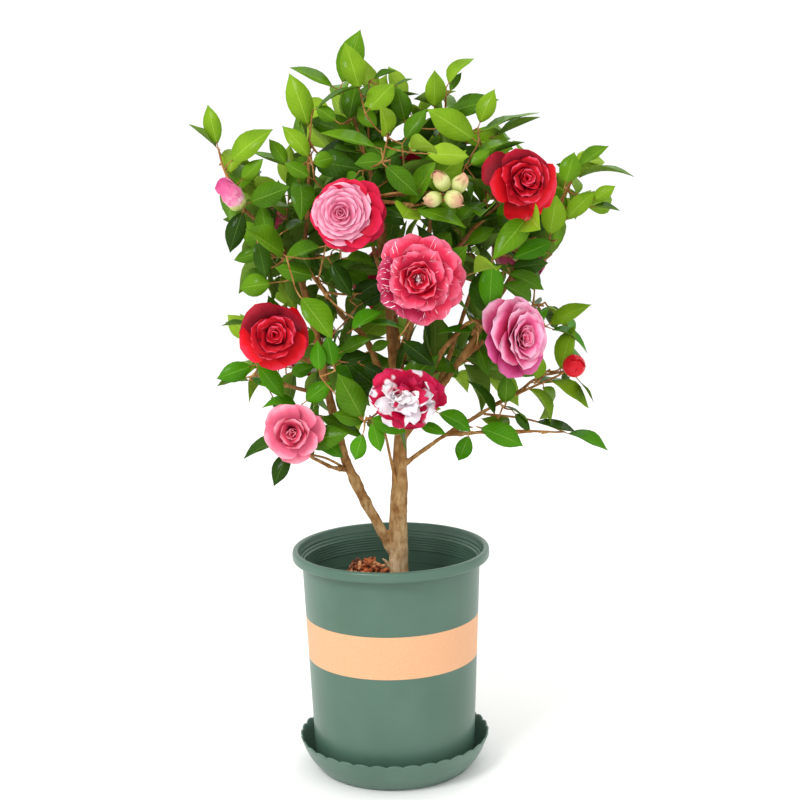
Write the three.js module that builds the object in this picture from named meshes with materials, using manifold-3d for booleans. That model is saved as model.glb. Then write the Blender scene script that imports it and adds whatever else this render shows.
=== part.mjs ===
// A camellia shrub in full bloom, standing in a nursery pot with a scalloped saucer.
// Millimetres, +Z up. The origin is the centre of the saucer's flat underside, +Y is the back.
// The crown is 24 masses of foliage, each a single fused solid that keeps to its own space,
// carried by boughs that part from one short trunk.

import * as THREE from 'three';
import { mergeVertices } from 'three/addons/utils/BufferGeometryUtils.js';
import Module from 'manifold-3d';

const wasm = await Module();
wasm.setup();

// ---- driving dimensions -------------------------------------------------------------------

const gap = 0.3;                        // clearance between touching pieces

const saucer = {
  floorRadius: 97, rimRadius: 127, height: 44, floor: 3, wall: 2.4,
  scallops: 36, scallopDrop: 3, facetsPerScallop: 2,
};

const pot = {
  baseRadius: 94, footRadius: 107, bodyRadius: 117.4, lipRadius: 130, mouthRadius: 120.5,
  bodyTop: 284.5, top: 298, wall: 2.6, facets: 42,
};

const soil = {
  ground: 250, edge: 213, flatRadius: 27, shoulder: 60,
  ringCount: 5, facets: 28, wallGap: 0.8,
};

const chips = { centre: [-33, -4], reach: [27, 21], height: 17, facets: 11, rings: 4, seed: 5 };

const trunk = {
  foot: [9, 0], lean: [12, 0, 360], fork: [16, 1, 450],
  footRadius: 13.2, waistRadius: 11.6, forkRadius: 8.2,
  flareRadius: 5, flareHeight: 9, flareLobes: 3, sides: 10, rings: 11,
};

const leaf = { length: 64, spread: 20, widthShare: 0.54, thickShare: 0.024, fold: 0.02, arch: 0.03 };
const crown = { low: [-245, -226, 412], high: [319, 242, 963] };
const twig = {
  tipRadius: 1.1, shootRadius: 2.1, stalkRadius: 2, leafPitch: 15, bareShare: 0.2, sag: 0.1, tries: 4,
};

// Each bough parts from another limb, at a share of that limb's length, and ends in a mass.
const boughs = [
  { name: 'bough_centre', from: 'trunk', at: 1, via: [[9, 3, 520], [2, 10, 636]], to: [-9, 18, 745],
    radius: [7.8, 3.6] },
  { name: 'bough_left', from: 'trunk', at: 0.36, via: [[-48, -10, 397], [-67, -15, 465], [-94, -20, 605]],
    to: [-110, -16, 662], radius: [7.4, 3.8] },
  { name: 'bough_right_leader', from: 'bough_centre', at: 0.26, via: [[25, -9, 575], [44, 2, 655]],
    to: [72, 8, 765], radius: [5.6, 3.1] },
  { name: 'bough_right', from: 'trunk', at: 0.96, via: [[66, 0, 505], [121, 0, 583]], to: [194, 3, 706],
    radius: [5.4, 3] },
  { name: 'bough_back', from: 'trunk', at: 0.93, via: [[17, 60, 515]], to: [12, 105, 590],
    radius: [5.6, 3.4] },
  { name: 'bough_inner_left', from: 'trunk', at: 0.98, via: [[-22, 30, 559], [-58, 42, 600]],
    to: [-88, 66, 640], radius: [5, 2.9] },
  { name: 'bough_low_right', from: 'trunk', at: 0.82, via: [[45, -5, 427], [94, -10, 460]],
    to: [166, -6, 500], radius: [4.4, 2.6] },
  { name: 'bough_right_front', from: 'trunk', at: 0.97, via: [[48, -18, 515], [70, -38, 560]],
    to: [100, -62, 598], radius: [4.2, 2.7] },
  { name: 'bough_lower_front', from: 'trunk', at: 0.94, via: [], to: [8, -46, 492], radius: [3.6, 2.6] },
  { name: 'bough_top_left', from: 'bough_left', at: 0.9, via: [[-100, -24, 700]], to: [-92, -26, 762],
    radius: [3.6, 2.6] },
  { name: 'bough_left_spray', from: 'bough_left', at: 0.95, via: [[-136, -22, 706]],
    to: [-176, -30, 746], radius: [3.2, 2.3] },
  { name: 'bough_left_front', from: 'bough_left', at: 0.64, via: [], to: [-122, -52, 562],
    radius: [3.4, 2.4] },
  { name: 'bough_left_outer', from: 'bough_left', at: 0.57, via: [], to: [-148, -4, 522],
    radius: [3.2, 2.3] },
  { name: 'bough_low_left', from: 'bough_left', at: 0.27, via: [[-72, -30, 412]], to: [-96, -46, 428],
    radius: [3.3, 2.4] },
  { name: 'bough_upper_front', from: 'bough_centre', at: 0.62, via: [], to: [-18, -58, 716],
    radius: [3.6, 2.6] },
  { name: 'bough_back_top', from: 'bough_centre', at: 0.6, via: [[0, 55, 690]], to: [4, 82, 748],
    radius: [3.6, 2.6] },
  { name: 'bough_upper_right', from: 'bough_right_leader', at: 0.5, via: [], to: [112, -42, 716],
    radius: [3.5, 2.6] },
  { name: 'bough_centre_front', from: 'bough_right_leader', at: 0.2, via: [], to: [38, -58, 612],
    radius: [3.5, 2.6] },
  { name: 'bough_centre_left', from: 'bough_inner_left', at: 0.55, via: [], to: [-72, -36, 630],
    radius: [3.3, 2.5] },
  { name: 'bough_right_mid', from: 'bough_right', at: 0.5, via: [], to: [168, 6, 602],
    radius: [3.3, 2.4] },
  { name: 'bough_back_right', from: 'bough_right', at: 0.3, via: [[88, 40, 560]], to: [112, 74, 622],
    radius: [3.8, 2.6] },
  { name: 'bough_lowest_right', from: 'bough_low_right', at: 0.55, via: [], to: [150, -26, 456],
    radius: [2.8, 2.1] },
  { name: 'bough_back_low_left', from: 'bough_back', at: 0.3, via: [], to: [-48, 86, 520],
    radius: [3.4, 2.4] },
  { name: 'bough_back_low_right', from: 'bough_back', at: 0.35, via: [], to: [76, 88, 522],
    radius: [3.4, 2.4] },
];

// Each mass grows from the tip of its bough towards its heart, and fills its reach around that.
// The named tips are its furthest leaves; the rest of its shoots are placed by the rule.
// A bloom has its middle, the way that it faces and its radius.
const masses = [
  { name: 'foliage_top_centre', bough: 'bough_centre', heart: [-20, 8, 835], reach: [66, 66, 92],
    shoots: 9, tips: [[-22, 0, 962], [24, 24, 915], [-62, 10, 905]] },
  { name: 'foliage_top_left', bough: 'bough_top_left', heart: [-98, -26, 815], reach: [62, 66, 80],
    shoots: 7, tips: [[-111, -32, 918], [-72, -50, 892], [-140, -40, 840]] },
  { name: 'foliage_top_right', bough: 'bough_right_leader', heart: [84, 8, 828], reach: [70, 66, 88],
    shoots: 8, tips: [[110, 0, 932], [140, 4, 880], [198, 30, 864], [50, 20, 905]] },
  { name: 'foliage_left_spray', bough: 'bough_left_spray', heart: [-192, -34, 782], reach: [50, 60, 66],
    shoots: 6, tips: [[-216, -22, 873], [-243, -20, 848]],
    buds: [{ at: [-187, -56, 764], face: [-0.5, -0.3, 0.7], radius: 13, length: 44 }] },
  { name: 'foliage_upper_left', bough: 'bough_left', heart: [-140, -18, 700], reach: [62, 72, 50],
    shoots: 6, tips: [[-204, -50, 700], [-186, -20, 650]] },
  { name: 'foliage_upper_front', bough: 'bough_upper_front', heart: [-2, -112, 774],
    reach: [90, 66, 62], shoots: 8, tips: [[-70, -120, 822], [18, -120, 842]],
    blooms: [{ at: [-41, -150, 742], face: [-0.1, -1, 0.05], radius: 45 }],
    buds: [{ at: [69, -160, 779], face: [-0.2, -0.6, 0.7], radius: 10, length: 26 },
      { at: [91, -157, 775], face: [0.3, -0.6, 0.6], radius: 10, length: 26 },
      { at: [84, -168, 757], face: [0.2, -0.9, 0.1], radius: 10, length: 26 },
      { at: [58, -164, 757], face: [-0.3, -0.9, 0.1], radius: 10, length: 26 }] },
  { name: 'foliage_upper_right', bough: 'bough_upper_right', heart: [172, -72, 768],
    reach: [62, 60, 66], shoots: 6, tips: [[206, -50, 800], [150, -80, 850]],
    blooms: [{ at: [166, -122, 776], face: [0.1, -1, 0.12], radius: 45 }] },
  { name: 'foliage_right_spray', bough: 'bough_right', heart: [232, 6, 738], reach: [62, 60, 58],
    shoots: 6, tips: [[318, 8, 790], [278, 10, 810], [299, -12, 738], [216, -24, 690]] },
  { name: 'foliage_centre_left', bough: 'bough_centre_left', heart: [-82, -88, 662],
    reach: [64, 66, 58], shoots: 6, tips: [[-64, -150, 640]] },
  { name: 'foliage_left_front', bough: 'bough_left_front', heart: [-142, -76, 596],
    reach: [60, 56, 46], shoots: 5, tips: [[-200, -50, 612], [-120, -130, 532]],
    blooms: [{ at: [-137, -122, 596], face: [-0.05, -1, 0.15], radius: 43 }] },
  { name: 'foliage_centre_front', bough: 'bough_centre_front', heart: [42, -112, 652],
    reach: [72, 70, 56], shoots: 6, tips: [[96, -150, 700], [20, -150, 600]],
    blooms: [{ at: [42, -196, 668], face: [0.02, -1, 0.06], radius: 54 }] },
  { name: 'foliage_right_front', bough: 'bough_right_front', heart: [132, -84, 612],
    reach: [62, 62, 56], shoots: 6, tips: [[106, -130, 560], [190, -60, 640]],
    blooms: [{ at: [160, -124, 588], face: [0.35, -0.9, 0.1], radius: 48 }] },
  { name: 'foliage_right_mid', bough: 'bough_right_mid', heart: [206, 8, 618], reach: [58, 66, 52],
    shoots: 6, tips: [[259, 0, 622], [200, 50, 660]] },
  { name: 'foliage_low_left', bough: 'bough_low_left', heart: [-122, -66, 458], reach: [58, 52, 42],
    shoots: 5, tips: [[-186, -62, 438], [-142, -92, 418], [-60, -104, 462]],
    blooms: [{ at: [-118, -106, 474], face: [-0.1, -1, 0.1], radius: 40 }] },
  { name: 'foliage_left_outer', bough: 'bough_left_outer', heart: [-176, 4, 540], reach: [46, 60, 44],
    shoots: 5, tips: [[-218, -22, 530], [-196, -10, 572]] },
  { name: 'foliage_lower_front', bough: 'bough_lower_front', heart: [6, -82, 528],
    reach: [68, 58, 44], shoots: 5, tips: [[-30, -120, 470], [64, -110, 500], [-44, -110, 560]],
    blooms: [{ at: [22, -142, 517], face: [0.05, -1, 0.1], radius: 45 }] },
  { name: 'foliage_low_right', bough: 'bough_low_right', heart: [208, -4, 532], reach: [54, 60, 44],
    shoots: 6, tips: [[266, 4, 566], [262, 16, 500]],
    buds: [{ at: [238, -22, 538], face: [0.2, -0.7, 0.6], radius: 14, length: 33 }] },
  { name: 'foliage_lowest_right', bough: 'bough_lowest_right', heart: [172, -38, 452],
    reach: [66, 50, 30], shoots: 5, tips: [[286, 0, 428], [90, -46, 422], [184, -52, 438]] },
  { name: 'foliage_back_top', bough: 'bough_back_top', heart: [4, 118, 802], reach: [92, 72, 80],
    shoots: 8, tips: [[10, 130, 900], [-70, 110, 868], [90, 120, 860]],
    blooms: [{ at: [20, 190, 786], face: [0.1, 1, 0.1], radius: 44 }] },
  { name: 'foliage_back_left', bough: 'bough_inner_left', heart: [-122, 92, 690], reach: [82, 80, 84],
    shoots: 8, tips: [[-210, 80, 720], [-150, 90, 790]],
    blooms: [{ at: [-150, 150, 700], face: [-0.6, 0.8, 0.1], radius: 42 }] },
  { name: 'foliage_back_right', bough: 'bough_back_right', heart: [138, 104, 692], reach: [84, 80, 84],
    shoots: 8, tips: [[226, 90, 720], [150, 110, 792]],
    blooms: [{ at: [190, 150, 672], face: [0.7, 0.7, 0.1], radius: 46 }] },
  { name: 'foliage_back', bough: 'bough_back', heart: [10, 158, 650], reach: [88, 72, 74],
    shoots: 7, tips: [[10, 232, 690]],
    blooms: [{ at: [0, 218, 630], face: [0, 1, 0.05], radius: 50 }] },
  { name: 'foliage_back_low_left', bough: 'bough_back_low_left', heart: [-92, 112, 540],
    reach: [74, 70, 50], shoots: 6, tips: [[-160, 120, 510]],
    blooms: [{ at: [-110, 164, 540], face: [-0.3, 0.95, 0], radius: 40 }] },
  { name: 'foliage_back_low_right', bough: 'bough_back_low_right', heart: [112, 112, 542],
    reach: [74, 70, 50], shoots: 6, tips: [[186, 110, 512]] },
];

// ---- helpers ------------------------------------------------------------------------------

const vector = (values) => new THREE.Vector3(...values);
const up = new THREE.Vector3(0, 0, 1);

// A repeatable stream of numbers from 0 to 1.
function stream(seed) {
  let state = seed >>> 0;
  return () => {
    state = (state + 0x6d2b79f5) >>> 0;
    let mixed = Math.imul(state ^ (state >>> 15), state | 1);
    mixed ^= mixed + Math.imul(mixed ^ (mixed >>> 7), mixed | 61);
    return ((mixed ^ (mixed >>> 14)) >>> 0) / 4294967296;
  };
}

function surface(positions, triangles) {
  const geometry = new THREE.BufferGeometry();
  geometry.setAttribute('position', new THREE.Float32BufferAttribute(positions, 3));
  geometry.setIndex(triangles);
  return geometry;
}

function toSolid(geometry) {
  const bare = geometry.clone();
  bare.deleteAttribute('normal');
  bare.deleteAttribute('uv');
  const merged = mergeVertices(bare, 1e-4);
  return new wasm.Manifold(new wasm.Mesh({
    numProp: 3,
    vertProperties: Float32Array.from(merged.attributes.position.array),
    triVerts: Uint32Array.from(merged.index.array),
  }));
}

function toGeometry(solid) {
  const mesh = solid.getMesh();
  const geometry = surface(mesh.vertProperties, Array.from(mesh.triVerts));
  geometry.computeVertexNormals();
  return geometry;
}

// The largest body of a solid: loose scraps and sealed hollows are left out.
function mainBody(solid) {
  return solid.decompose().reduce((best, piece) => (piece.volume() > best.volume() ? piece : best));
}

// A closed tube through rings of points; radiusAt gives the radius at a ring and an angle.
function tube(centres, radiusAt, sides) {
  const tangents = centres.map((centre, i) => {
    const before = centres[Math.max(i - 1, 0)];
    const after = centres[Math.min(i + 1, centres.length - 1)];
    return after.clone().sub(before).normalize();
  });
  let side = new THREE.Vector3(1, 0, 0);
  if (Math.abs(tangents[0].x) > 0.9) side = new THREE.Vector3(0, 1, 0);
  const positions = [];
  centres.forEach((centre, ring) => {
    const tangent = tangents[ring];
    side = side.clone().addScaledVector(tangent, -side.dot(tangent)).normalize();
    const other = tangent.clone().cross(side);
    for (let k = 0; k < sides; k += 1) {
      const angle = (2 * Math.PI * k) / sides;
      const radius = radiusAt(ring, angle);
      const point = centre.clone()
        .addScaledVector(side, radius * Math.cos(angle))
        .addScaledVector(other, radius * Math.sin(angle));
      positions.push(point.x, point.y, point.z);
    }
  });
  const triangles = [];
  for (let ring = 0; ring + 1 < centres.length; ring += 1) {
    for (let k = 0; k < sides; k += 1) {
      const a = ring * sides + k;
      const b = ring * sides + ((k + 1) % sides);
      triangles.push(a, b, a + sides, b, b + sides, a + sides);
    }
  }
  const last = (centres.length - 1) * sides;
  for (let k = 1; k + 1 < sides; k += 1) {
    triangles.push(0, k + 1, k, last, last + k, last + k + 1);
  }
  return surface(positions, triangles);
}

// Rings of a closed, star-shaped skin about the Z axis, between a lowest and a highest pole.
function ringedSkin(bottomPole, rings, topPole) {
  const count = rings[0].length;
  const positions = [...bottomPole, ...rings.flat(2), ...topPole];
  const triangles = [];
  const top = 1 + rings.length * count;
  const index = (ring, k) => 1 + ring * count + (k % count);
  for (let k = 0; k < count; k += 1) {
    triangles.push(0, index(0, k + 1), index(0, k));
    triangles.push(top, index(rings.length - 1, k), index(rings.length - 1, k + 1));
    for (let ring = 0; ring + 1 < rings.length; ring += 1) {
      triangles.push(index(ring, k), index(ring, k + 1), index(ring + 1, k));
      triangles.push(index(ring, k + 1), index(ring + 1, k + 1), index(ring + 1, k));
    }
  }
  return surface(positions, triangles);
}

function circle(radius, height, facets) {
  return Array.from({ length: facets }, (_, k) => {
    const angle = (2 * Math.PI * k) / facets;
    const z = typeof height === 'function' ? height(radius, angle) : height;
    return [radius * Math.cos(angle), radius * Math.sin(angle), z];
  });
}

function lathe(profile, facets) {
  const points = profile.map(([radius, height]) => new THREE.Vector2(radius, height));
  return new THREE.LatheGeometry(points, facets).rotateX(Math.PI / 2);
}

const mix = (a, b, share) => a + (b - a) * share;

// ---- pot, saucer and what fills them --------------------------------------------------------

// The inner radius of the pot's wall at a height.
function potInside(height) {
  const share = (height - 25) / (pot.bodyTop - 25);
  return mix(pot.footRadius, pot.bodyRadius, share) - pot.wall;
}

const potFoot = saucer.floor + gap;

function potGeometry() {
  const floorTop = potFoot + 3.4;
  return lathe([
    [0, potFoot], [pot.baseRadius, potFoot], [pot.baseRadius + 7, potFoot + 3.2],
    [pot.footRadius - 1.5, potFoot + 10.7], [pot.footRadius, 25],
    [pot.bodyRadius, pot.bodyTop], [pot.lipRadius - 3, pot.bodyTop + 0.6],
    [pot.lipRadius, pot.bodyTop + 7],
    [pot.lipRadius - 1.4, pot.top - 1.8], [pot.lipRadius - 4.4, pot.top],
    [pot.mouthRadius, pot.top - 2.4],
    [pot.mouthRadius - 2, pot.bodyTop + 3.5], [potInside(pot.bodyTop - 5), pot.bodyTop - 5],
    [potInside(25), 25], [pot.baseRadius, floorTop], [0, floorTop],
  ], pot.facets);
}

// The saucer's wall rises to a wavy edge: every second facet line is a crest.
function saucerGeometry() {
  const facets = saucer.scallops * saucer.facetsPerScallop;
  const wave = (angle) => (0.5 + 0.5 * Math.cos(angle * saucer.scallops));
  const edge = (inset) => circle(0, 0, facets).map((_, k) => {
    const angle = (2 * Math.PI * k) / facets;
    const crest = wave(angle);
    const radius = saucer.rimRadius - inset - 1.2 * (1 - crest);
    const height = saucer.height - saucer.scallopDrop * (1 - crest);
    return [radius * Math.cos(angle), radius * Math.sin(angle), height];
  });
  const outside = [
    [saucer.floorRadius, 0], [saucer.floorRadius + 7, 3], [115, 17],
  ].map(([radius, height]) => circle(radius, height, facets));
  const inside = [
    [115 - saucer.wall, 18], [105.4, 7], [saucer.floorRadius + 2, saucer.floor],
  ].map(([radius, height]) => circle(radius, height, facets));
  return ringedSkin([0, 0, 0], [...outside, edge(0), edge(saucer.wall), ...inside], [0, 0, saucer.floor]);
}

// The soil is level round the trunk and falls away to the wall.
function soilHeight(radius) {
  const fall = THREE.MathUtils.smoothstep(radius, soil.flatRadius, soil.flatRadius + soil.shoulder);
  const sink = THREE.MathUtils.clamp((radius - soil.flatRadius) / (112 - soil.flatRadius), 0, 1);
  return mix(soil.ground, soil.edge, 0.6 * fall + 0.4 * sink);
}

function soilGeometry() {
  const floor = potFoot + 3.4 + gap;
  const wallRadius = potInside(soil.edge) - soil.wallGap;
  const foot = circle(pot.baseRadius - 1, floor, soil.facets);
  const rings = [foot, circle(potInside(25) - soil.wallGap, 25, soil.facets)];
  for (let k = 0; k < soil.ringCount; k += 1) {
    const radius = mix(wallRadius, soil.flatRadius, k / (soil.ringCount - 1));
    rings.push(circle(radius, (r) => soilHeight(r), soil.facets));
  }
  return ringedSkin([0, 0, floor], rings, [0, 0, soil.ground]);
}

// A low heap of bark chips beside the trunk, with a broken top.
function chipsGeometry() {
  const random = stream(chips.seed);
  const rings = [];
  for (let ring = 0; ring < chips.rings; ring += 1) {
    const spread = 1 - (ring / chips.rings) ** 1.5;
    rings.push(Array.from({ length: chips.facets }, (_, k) => {
      const angle = (2 * Math.PI * k) / chips.facets;
      const wobble = spread * (0.86 + 0.28 * random());
      const height = chips.height * (ring / chips.rings) * (0.75 + 0.5 * random());
      return [
        chips.centre[0] + chips.reach[0] * wobble * Math.cos(angle),
        chips.centre[1] + chips.reach[1] * wobble * Math.sin(angle),
        soil.ground - 6 * (ring === 0) + height,
      ];
    }));
  }
  const [x, y] = chips.centre;
  return ringedSkin([x, y, soil.ground - 8], rings, [x, y, soil.ground + chips.height]);
}

// ---- limbs ----------------------------------------------------------------------------------

function smoothPath(points) {
  return new THREE.CatmullRomCurve3(points, false, 'catmullrom', 0.5);
}

const paths = {};                       // the centre line of each limb
paths.trunk = smoothPath([
  vector([...trunk.foot, soil.ground - 6]), vector([...trunk.foot, soil.ground + 12]),
  vector(trunk.lean), vector(trunk.fork),
]);

// extra makes the limb that much thicker and longer, for the clearance of its neighbours.
function trunkSolid(extra) {
  const centres = paths.trunk.getPoints(trunk.rings - 1);
  if (extra > 0) centres[centres.length - 1].z += extra;
  const geometry = tube(centres, (ring, angle) => {
    const height = Math.max(centres[ring].z - soil.ground, 0);
    const share = height / (trunk.fork[2] - soil.ground);
    const plain = share < 0.55
      ? mix(trunk.footRadius, trunk.waistRadius, share / 0.55)
      : mix(trunk.waistRadius, trunk.forkRadius, (share - 0.55) / 0.45);
    const flare = trunk.flareRadius * Math.exp(-height / trunk.flareHeight);
    return plain + extra + flare * (1 + 0.45 * Math.cos(trunk.flareLobes * angle + 0.6));
  }, trunk.sides);
  const belowGround = new THREE.BoxGeometry(100, 100, 60);
  belowGround.translate(0, 0, soil.ground + gap - extra - 30);
  return toSolid(geometry).subtract(toSolid(belowGround));
}

function boughSolid(bough, extra) {
  const spans = bough.via.length + 1;
  const centres = paths[bough.name].getPoints(spans * 2 + 1);
  const last = centres.length - 1;
  const radius = centres.map((_, ring) => mix(bough.radius[0], bough.radius[1], ring / last) + extra);
  if (extra > 0) {
    const onward = centres[last].clone().sub(centres[last - 1]).setLength(extra);
    centres[last].add(onward);
  }
  return toSolid(tube(centres, (ring) => radius[ring], bough.radius[0] > 5 ? 6 : 5));
}

function growLimbs() {
  const limbs = { trunk: trunkSolid(0) };
  let taken = trunkSolid(gap + 0.1);
  boughs.forEach((bough) => {
    const start = paths[bough.from].getPoint(bough.at);
    paths[bough.name] = smoothPath([start, ...bough.via.map(vector), vector(bough.to)]);
    limbs[bough.name] = mainBody(boughSolid(bough, 0).subtract(taken));
    taken = taken.add(boughSolid(bough, gap + 0.1));
  });
  return { limbs, taken };
}

// ---- leaves, buds and blooms ----------------------------------------------------------------

// The axes of a shape that runs along one direction, with its upper side towards another.
function axesOf(along, upper) {
  const x = along.clone().normalize();
  const y = upper.clone().cross(x).normalize();
  return { x, y, z: x.clone().cross(y) };
}

function place(geometry, origin, along, upper) {
  const { x, y, z } = axesOf(along, upper);
  return geometry.applyMatrix4(new THREE.Matrix4().makeBasis(x, y, z).setPosition(origin));
}

// A three-cornered section: two upper corners and a keel.
function section(centre, { y, z }, halfWidth, rise, keel) {
  return [
    centre.clone().addScaledVector(y, halfWidth).addScaledVector(z, rise),
    centre.clone().addScaledVector(y, -halfWidth).addScaledVector(z, rise),
    centre.clone().addScaledVector(z, -keel),
  ].map((corner) => corner.toArray());
}

function twigSection(centre, axes, radius) {
  return section(centre, axes, 0.87 * radius, 0.5 * radius, radius);
}

// The two broad sections of a blade: it arches a little, and its keel is the rib below it.
function bladeSections({ foot, direction, length, width }, axes) {
  return [[0.3, 0.46], [0.68, 0.4]].map(([share, wide]) => {
    const centre = foot.clone().addScaledVector(direction, share * length)
      .addScaledVector(axes.z, leaf.arch * length);
    return section(centre, axes, wide * width, leaf.fold * width, leaf.thickShare * length);
  });
}

function leafSolid(item) {
  const axes = axesOf(item.direction, upperSide(item));
  const tip = item.foot.clone().addScaledVector(item.direction, item.length);
  return toSolid(ringedSkin(item.foot.toArray(), bladeSections(item, axes), tip.toArray()));
}

// Tiers of petals as one lobed rosette that faces along its own X.
function bloomGeometry(radius) {
  const lobes = 5;
  const tiers = [                       // share of the radius, share of the depth, depth of the lobes
    [0.34, -0.5, 0], [0.98, -0.16, 0.07], [0.85, 0.2, 0.06], [0.57, 0.14, 0.06], [0.5, 0.36, 0.08],
  ];
  const rings = tiers.map(([share, depth, lobe], tier) => Array.from({ length: 2 * lobes }, (_, k) => {
    const angle = (Math.PI * k) / lobes;
    const wide = radius * share * (1 + lobe * Math.cos(lobes * angle + Math.PI * tier));
    return [wide * Math.cos(angle), wide * Math.sin(angle), radius * depth];
  }));
  const geometry = ringedSkin([0, 0, -0.6 * radius], rings, [0, 0, 0.3 * radius]);
  return geometry.rotateY(Math.PI / 2);
}

// A plump pointed bud along its own X, with its base at the origin.
function budGeometry(radius, length) {
  const profile = [[0, 0], [0.8, 0.14], [1, 0.45], [0.6, 0.82], [0, 1]];
  const points = profile.map(([wide, far]) => [wide * radius, far * length]);
  return lathe(points, 6).rotateY(Math.PI / 2);
}

// ---- masses of foliage ----------------------------------------------------------------------

masses.forEach((mass, index) => {
  mass.seed = 100 + 37 * index;
  mass.centre = vector(mass.heart);
  mass.weight = (mass.reach[0] * mass.reach[1] + mass.reach[2] ** 2) / 2;
});

const crownBox = new THREE.Box3(vector(crown.low), vector(crown.high));

// The spaces are bounded by planes between each two hearts, nearer to the smaller mass, and
// by the crown's furthest reach.
function inOwnSpace(mass, point) {
  return crownBox.containsPoint(point) && masses.every((other) => {
    if (other === mass) return true;
    const own = point.distanceToSquared(mass.centre) - mass.weight;
    const others = point.distanceToSquared(other.centre) - other.weight;
    return (others - own) / (2 * mass.centre.distanceTo(other.centre)) > gap;
  });
}

// Where a shoot of the rule may end: golden-angle turns round the heart, more of them above it.
function ruledTips(mass, order, random) {
  const rise = mix(-0.45, 0.92, (order * 0.618 + 0.3) % 1);
  const flat = Math.sqrt(1 - rise * rise);
  const fill = 0.86 + 0.14 * random();
  return Array.from({ length: twig.tries }, (_, attempt) => {
    const turn = 2.39996 * order + mass.seed + 1.3 * attempt;
    return vector([flat * Math.cos(turn), flat * Math.sin(turn), rise])
      .multiply(vector(mass.reach)).multiplyScalar(fill).add(mass.centre);
  });
}

// A shoot runs in straight pieces from a point of the stem to the foot of its end leaf.
function growShoot(start, middle, tip, endLeaf) {
  const span = tip.distanceTo(start);
  const foot = tip.clone().lerp(start, Math.min(endLeaf / span, 0.6));
  const curve = new THREE.QuadraticBezierCurve3(start, middle ?? start.clone().lerp(foot, 0.5), foot);
  if (!middle) curve.v1.z -= twig.sag * span;
  const line = curve.getPoints(span > 110 ? 3 : 2);
  return { line, foot, tip, length: curve.getLength() };
}

function pointOn({ line }, share) {
  const along = share * (line.length - 1);
  const piece = Math.min(Math.floor(along), line.length - 2);
  return line[piece].clone().lerp(line[piece + 1], along - piece);
}

function directionOn({ line }, share) {
  const piece = Math.min(Math.floor(share * (line.length - 1)), line.length - 2);
  return line[piece + 1].clone().sub(line[piece]).normalize();
}

// A leaf leaves its shoot at an angle; each of its tries stands further round the shoot.
function sideLeaf(shoot, share, turn, random) {
  const open = 0.75 + 0.4 * random();
  const lift = 0.1 - 0.35 * random();
  const length = leaf.length + leaf.spread * random();
  const width = length * leaf.widthShare * (0.9 + 0.2 * random());
  const foot = pointOn(shoot, share);
  const along = directionOn(shoot, share);
  const level = new THREE.Vector3(-along.y, along.x, 0);
  if (level.lengthSq() < 1e-4) level.set(1, 0, 0);
  level.normalize();
  return Array.from({ length: twig.tries }, (_, attempt) => {
    const radial = level.clone().applyAxisAngle(along, turn + 1.9 * attempt);
    const direction = along.clone().multiplyScalar(Math.cos(open))
      .addScaledVector(radial, Math.sin(open)).addScaledVector(up, lift).normalize();
    return { foot, direction, length, width };
  });
}

function addLeaves(shoot, seed) {
  const random = stream(seed);
  const count = Math.max(Math.round(shoot.length / twig.leafPitch), 1);
  const firstTurn = 2 * Math.PI * random();
  shoot.leaves = [];
  for (let k = 0; k < count; k += 1) {
    const share = mix(twig.bareShare, 0.96, (k + 0.5) / count);
    shoot.leaves.push(sideLeaf(shoot, share, firstTurn + 2.4 * k, random));
  }
  return shoot;
}

// The stem runs from the bough's tip past the heart to the mass's furthest tip. Every other
// shoot leaves it at its own share of its length, and has one or more tries for its end.
function growMass(mass) {
  const random = stream(mass.seed);
  const root = paths[mass.bough].getPoint(1);
  const rootward = paths[mass.bough].getTangent(1);
  const elbow = root.clone().lerp(mass.centre, 0.6).addScaledVector(rootward, 12);
  const stem = addLeaves(growShoot(root, elbow, vector(mass.tips[0]), leaf.length), mass.seed + 1000);
  const shoots = [];
  for (let order = 1; order < mass.shoots; order += 1) {
    const start = pointOn(stem, mix(0.3, 0.9, order / mass.shoots));
    const tips = mass.tips[order] ? [vector(mass.tips[order])] : ruledTips(mass, order, random);
    const endLeaf = leaf.length + 10 * random();
    const seed = mass.seed + 1000 * (order + 1);
    shoots.push(tips.map((tip) => addLeaves(growShoot(start, null, tip, endLeaf), seed)));
  }
  return { stem, shoots };
}

// A leaf's upper side looks up and away from the crown's middle line.
function upperSide({ foot, direction }) {
  const outward = new THREE.Vector3(foot.x - 15, foot.y, 0).setLength(0.8);
  return up.clone().add(outward).addScaledVector(direction, -0.2);
}

// A shoot and its end leaf are one skin with three-cornered sections, pointed at both ends.
function shootSolid(shoot, startRadius, rootLength) {
  const direction = shoot.tip.clone().sub(shoot.foot).normalize();
  const length = shoot.tip.distanceTo(shoot.foot);
  const endLeaf = { foot: shoot.foot, direction, length, width: length * leaf.widthShare };
  const upper = upperSide(endLeaf);
  const last = shoot.line.length - 1;
  const rings = shoot.line.map((centre, k) => {
    const share = k === 0 ? rootLength / shoot.length : k / last;
    const radius = mix(startRadius, twig.tipRadius, share);
    return twigSection(pointOn(shoot, share), axesOf(directionOn(shoot, share), upper), radius);
  });
  rings.push(...bladeSections(endLeaf, axesOf(direction, upper)));
  return toSolid(ringedSkin(shoot.line[0].toArray(), rings, shoot.tip.toArray()));
}

function stalkSolid(from, to, radius) {
  const along = to.clone().sub(from);
  const axes = axesOf(along, new THREE.Vector3(0.2, 0.3, 1));
  const rings = [0.3, 1].map((share) => twigSection(from.clone().addScaledVector(along, share), axes, radius));
  return toSolid(ringedSkin(from.toArray(), rings, to.clone().addScaledVector(along, 0.05).toArray()));
}

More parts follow.
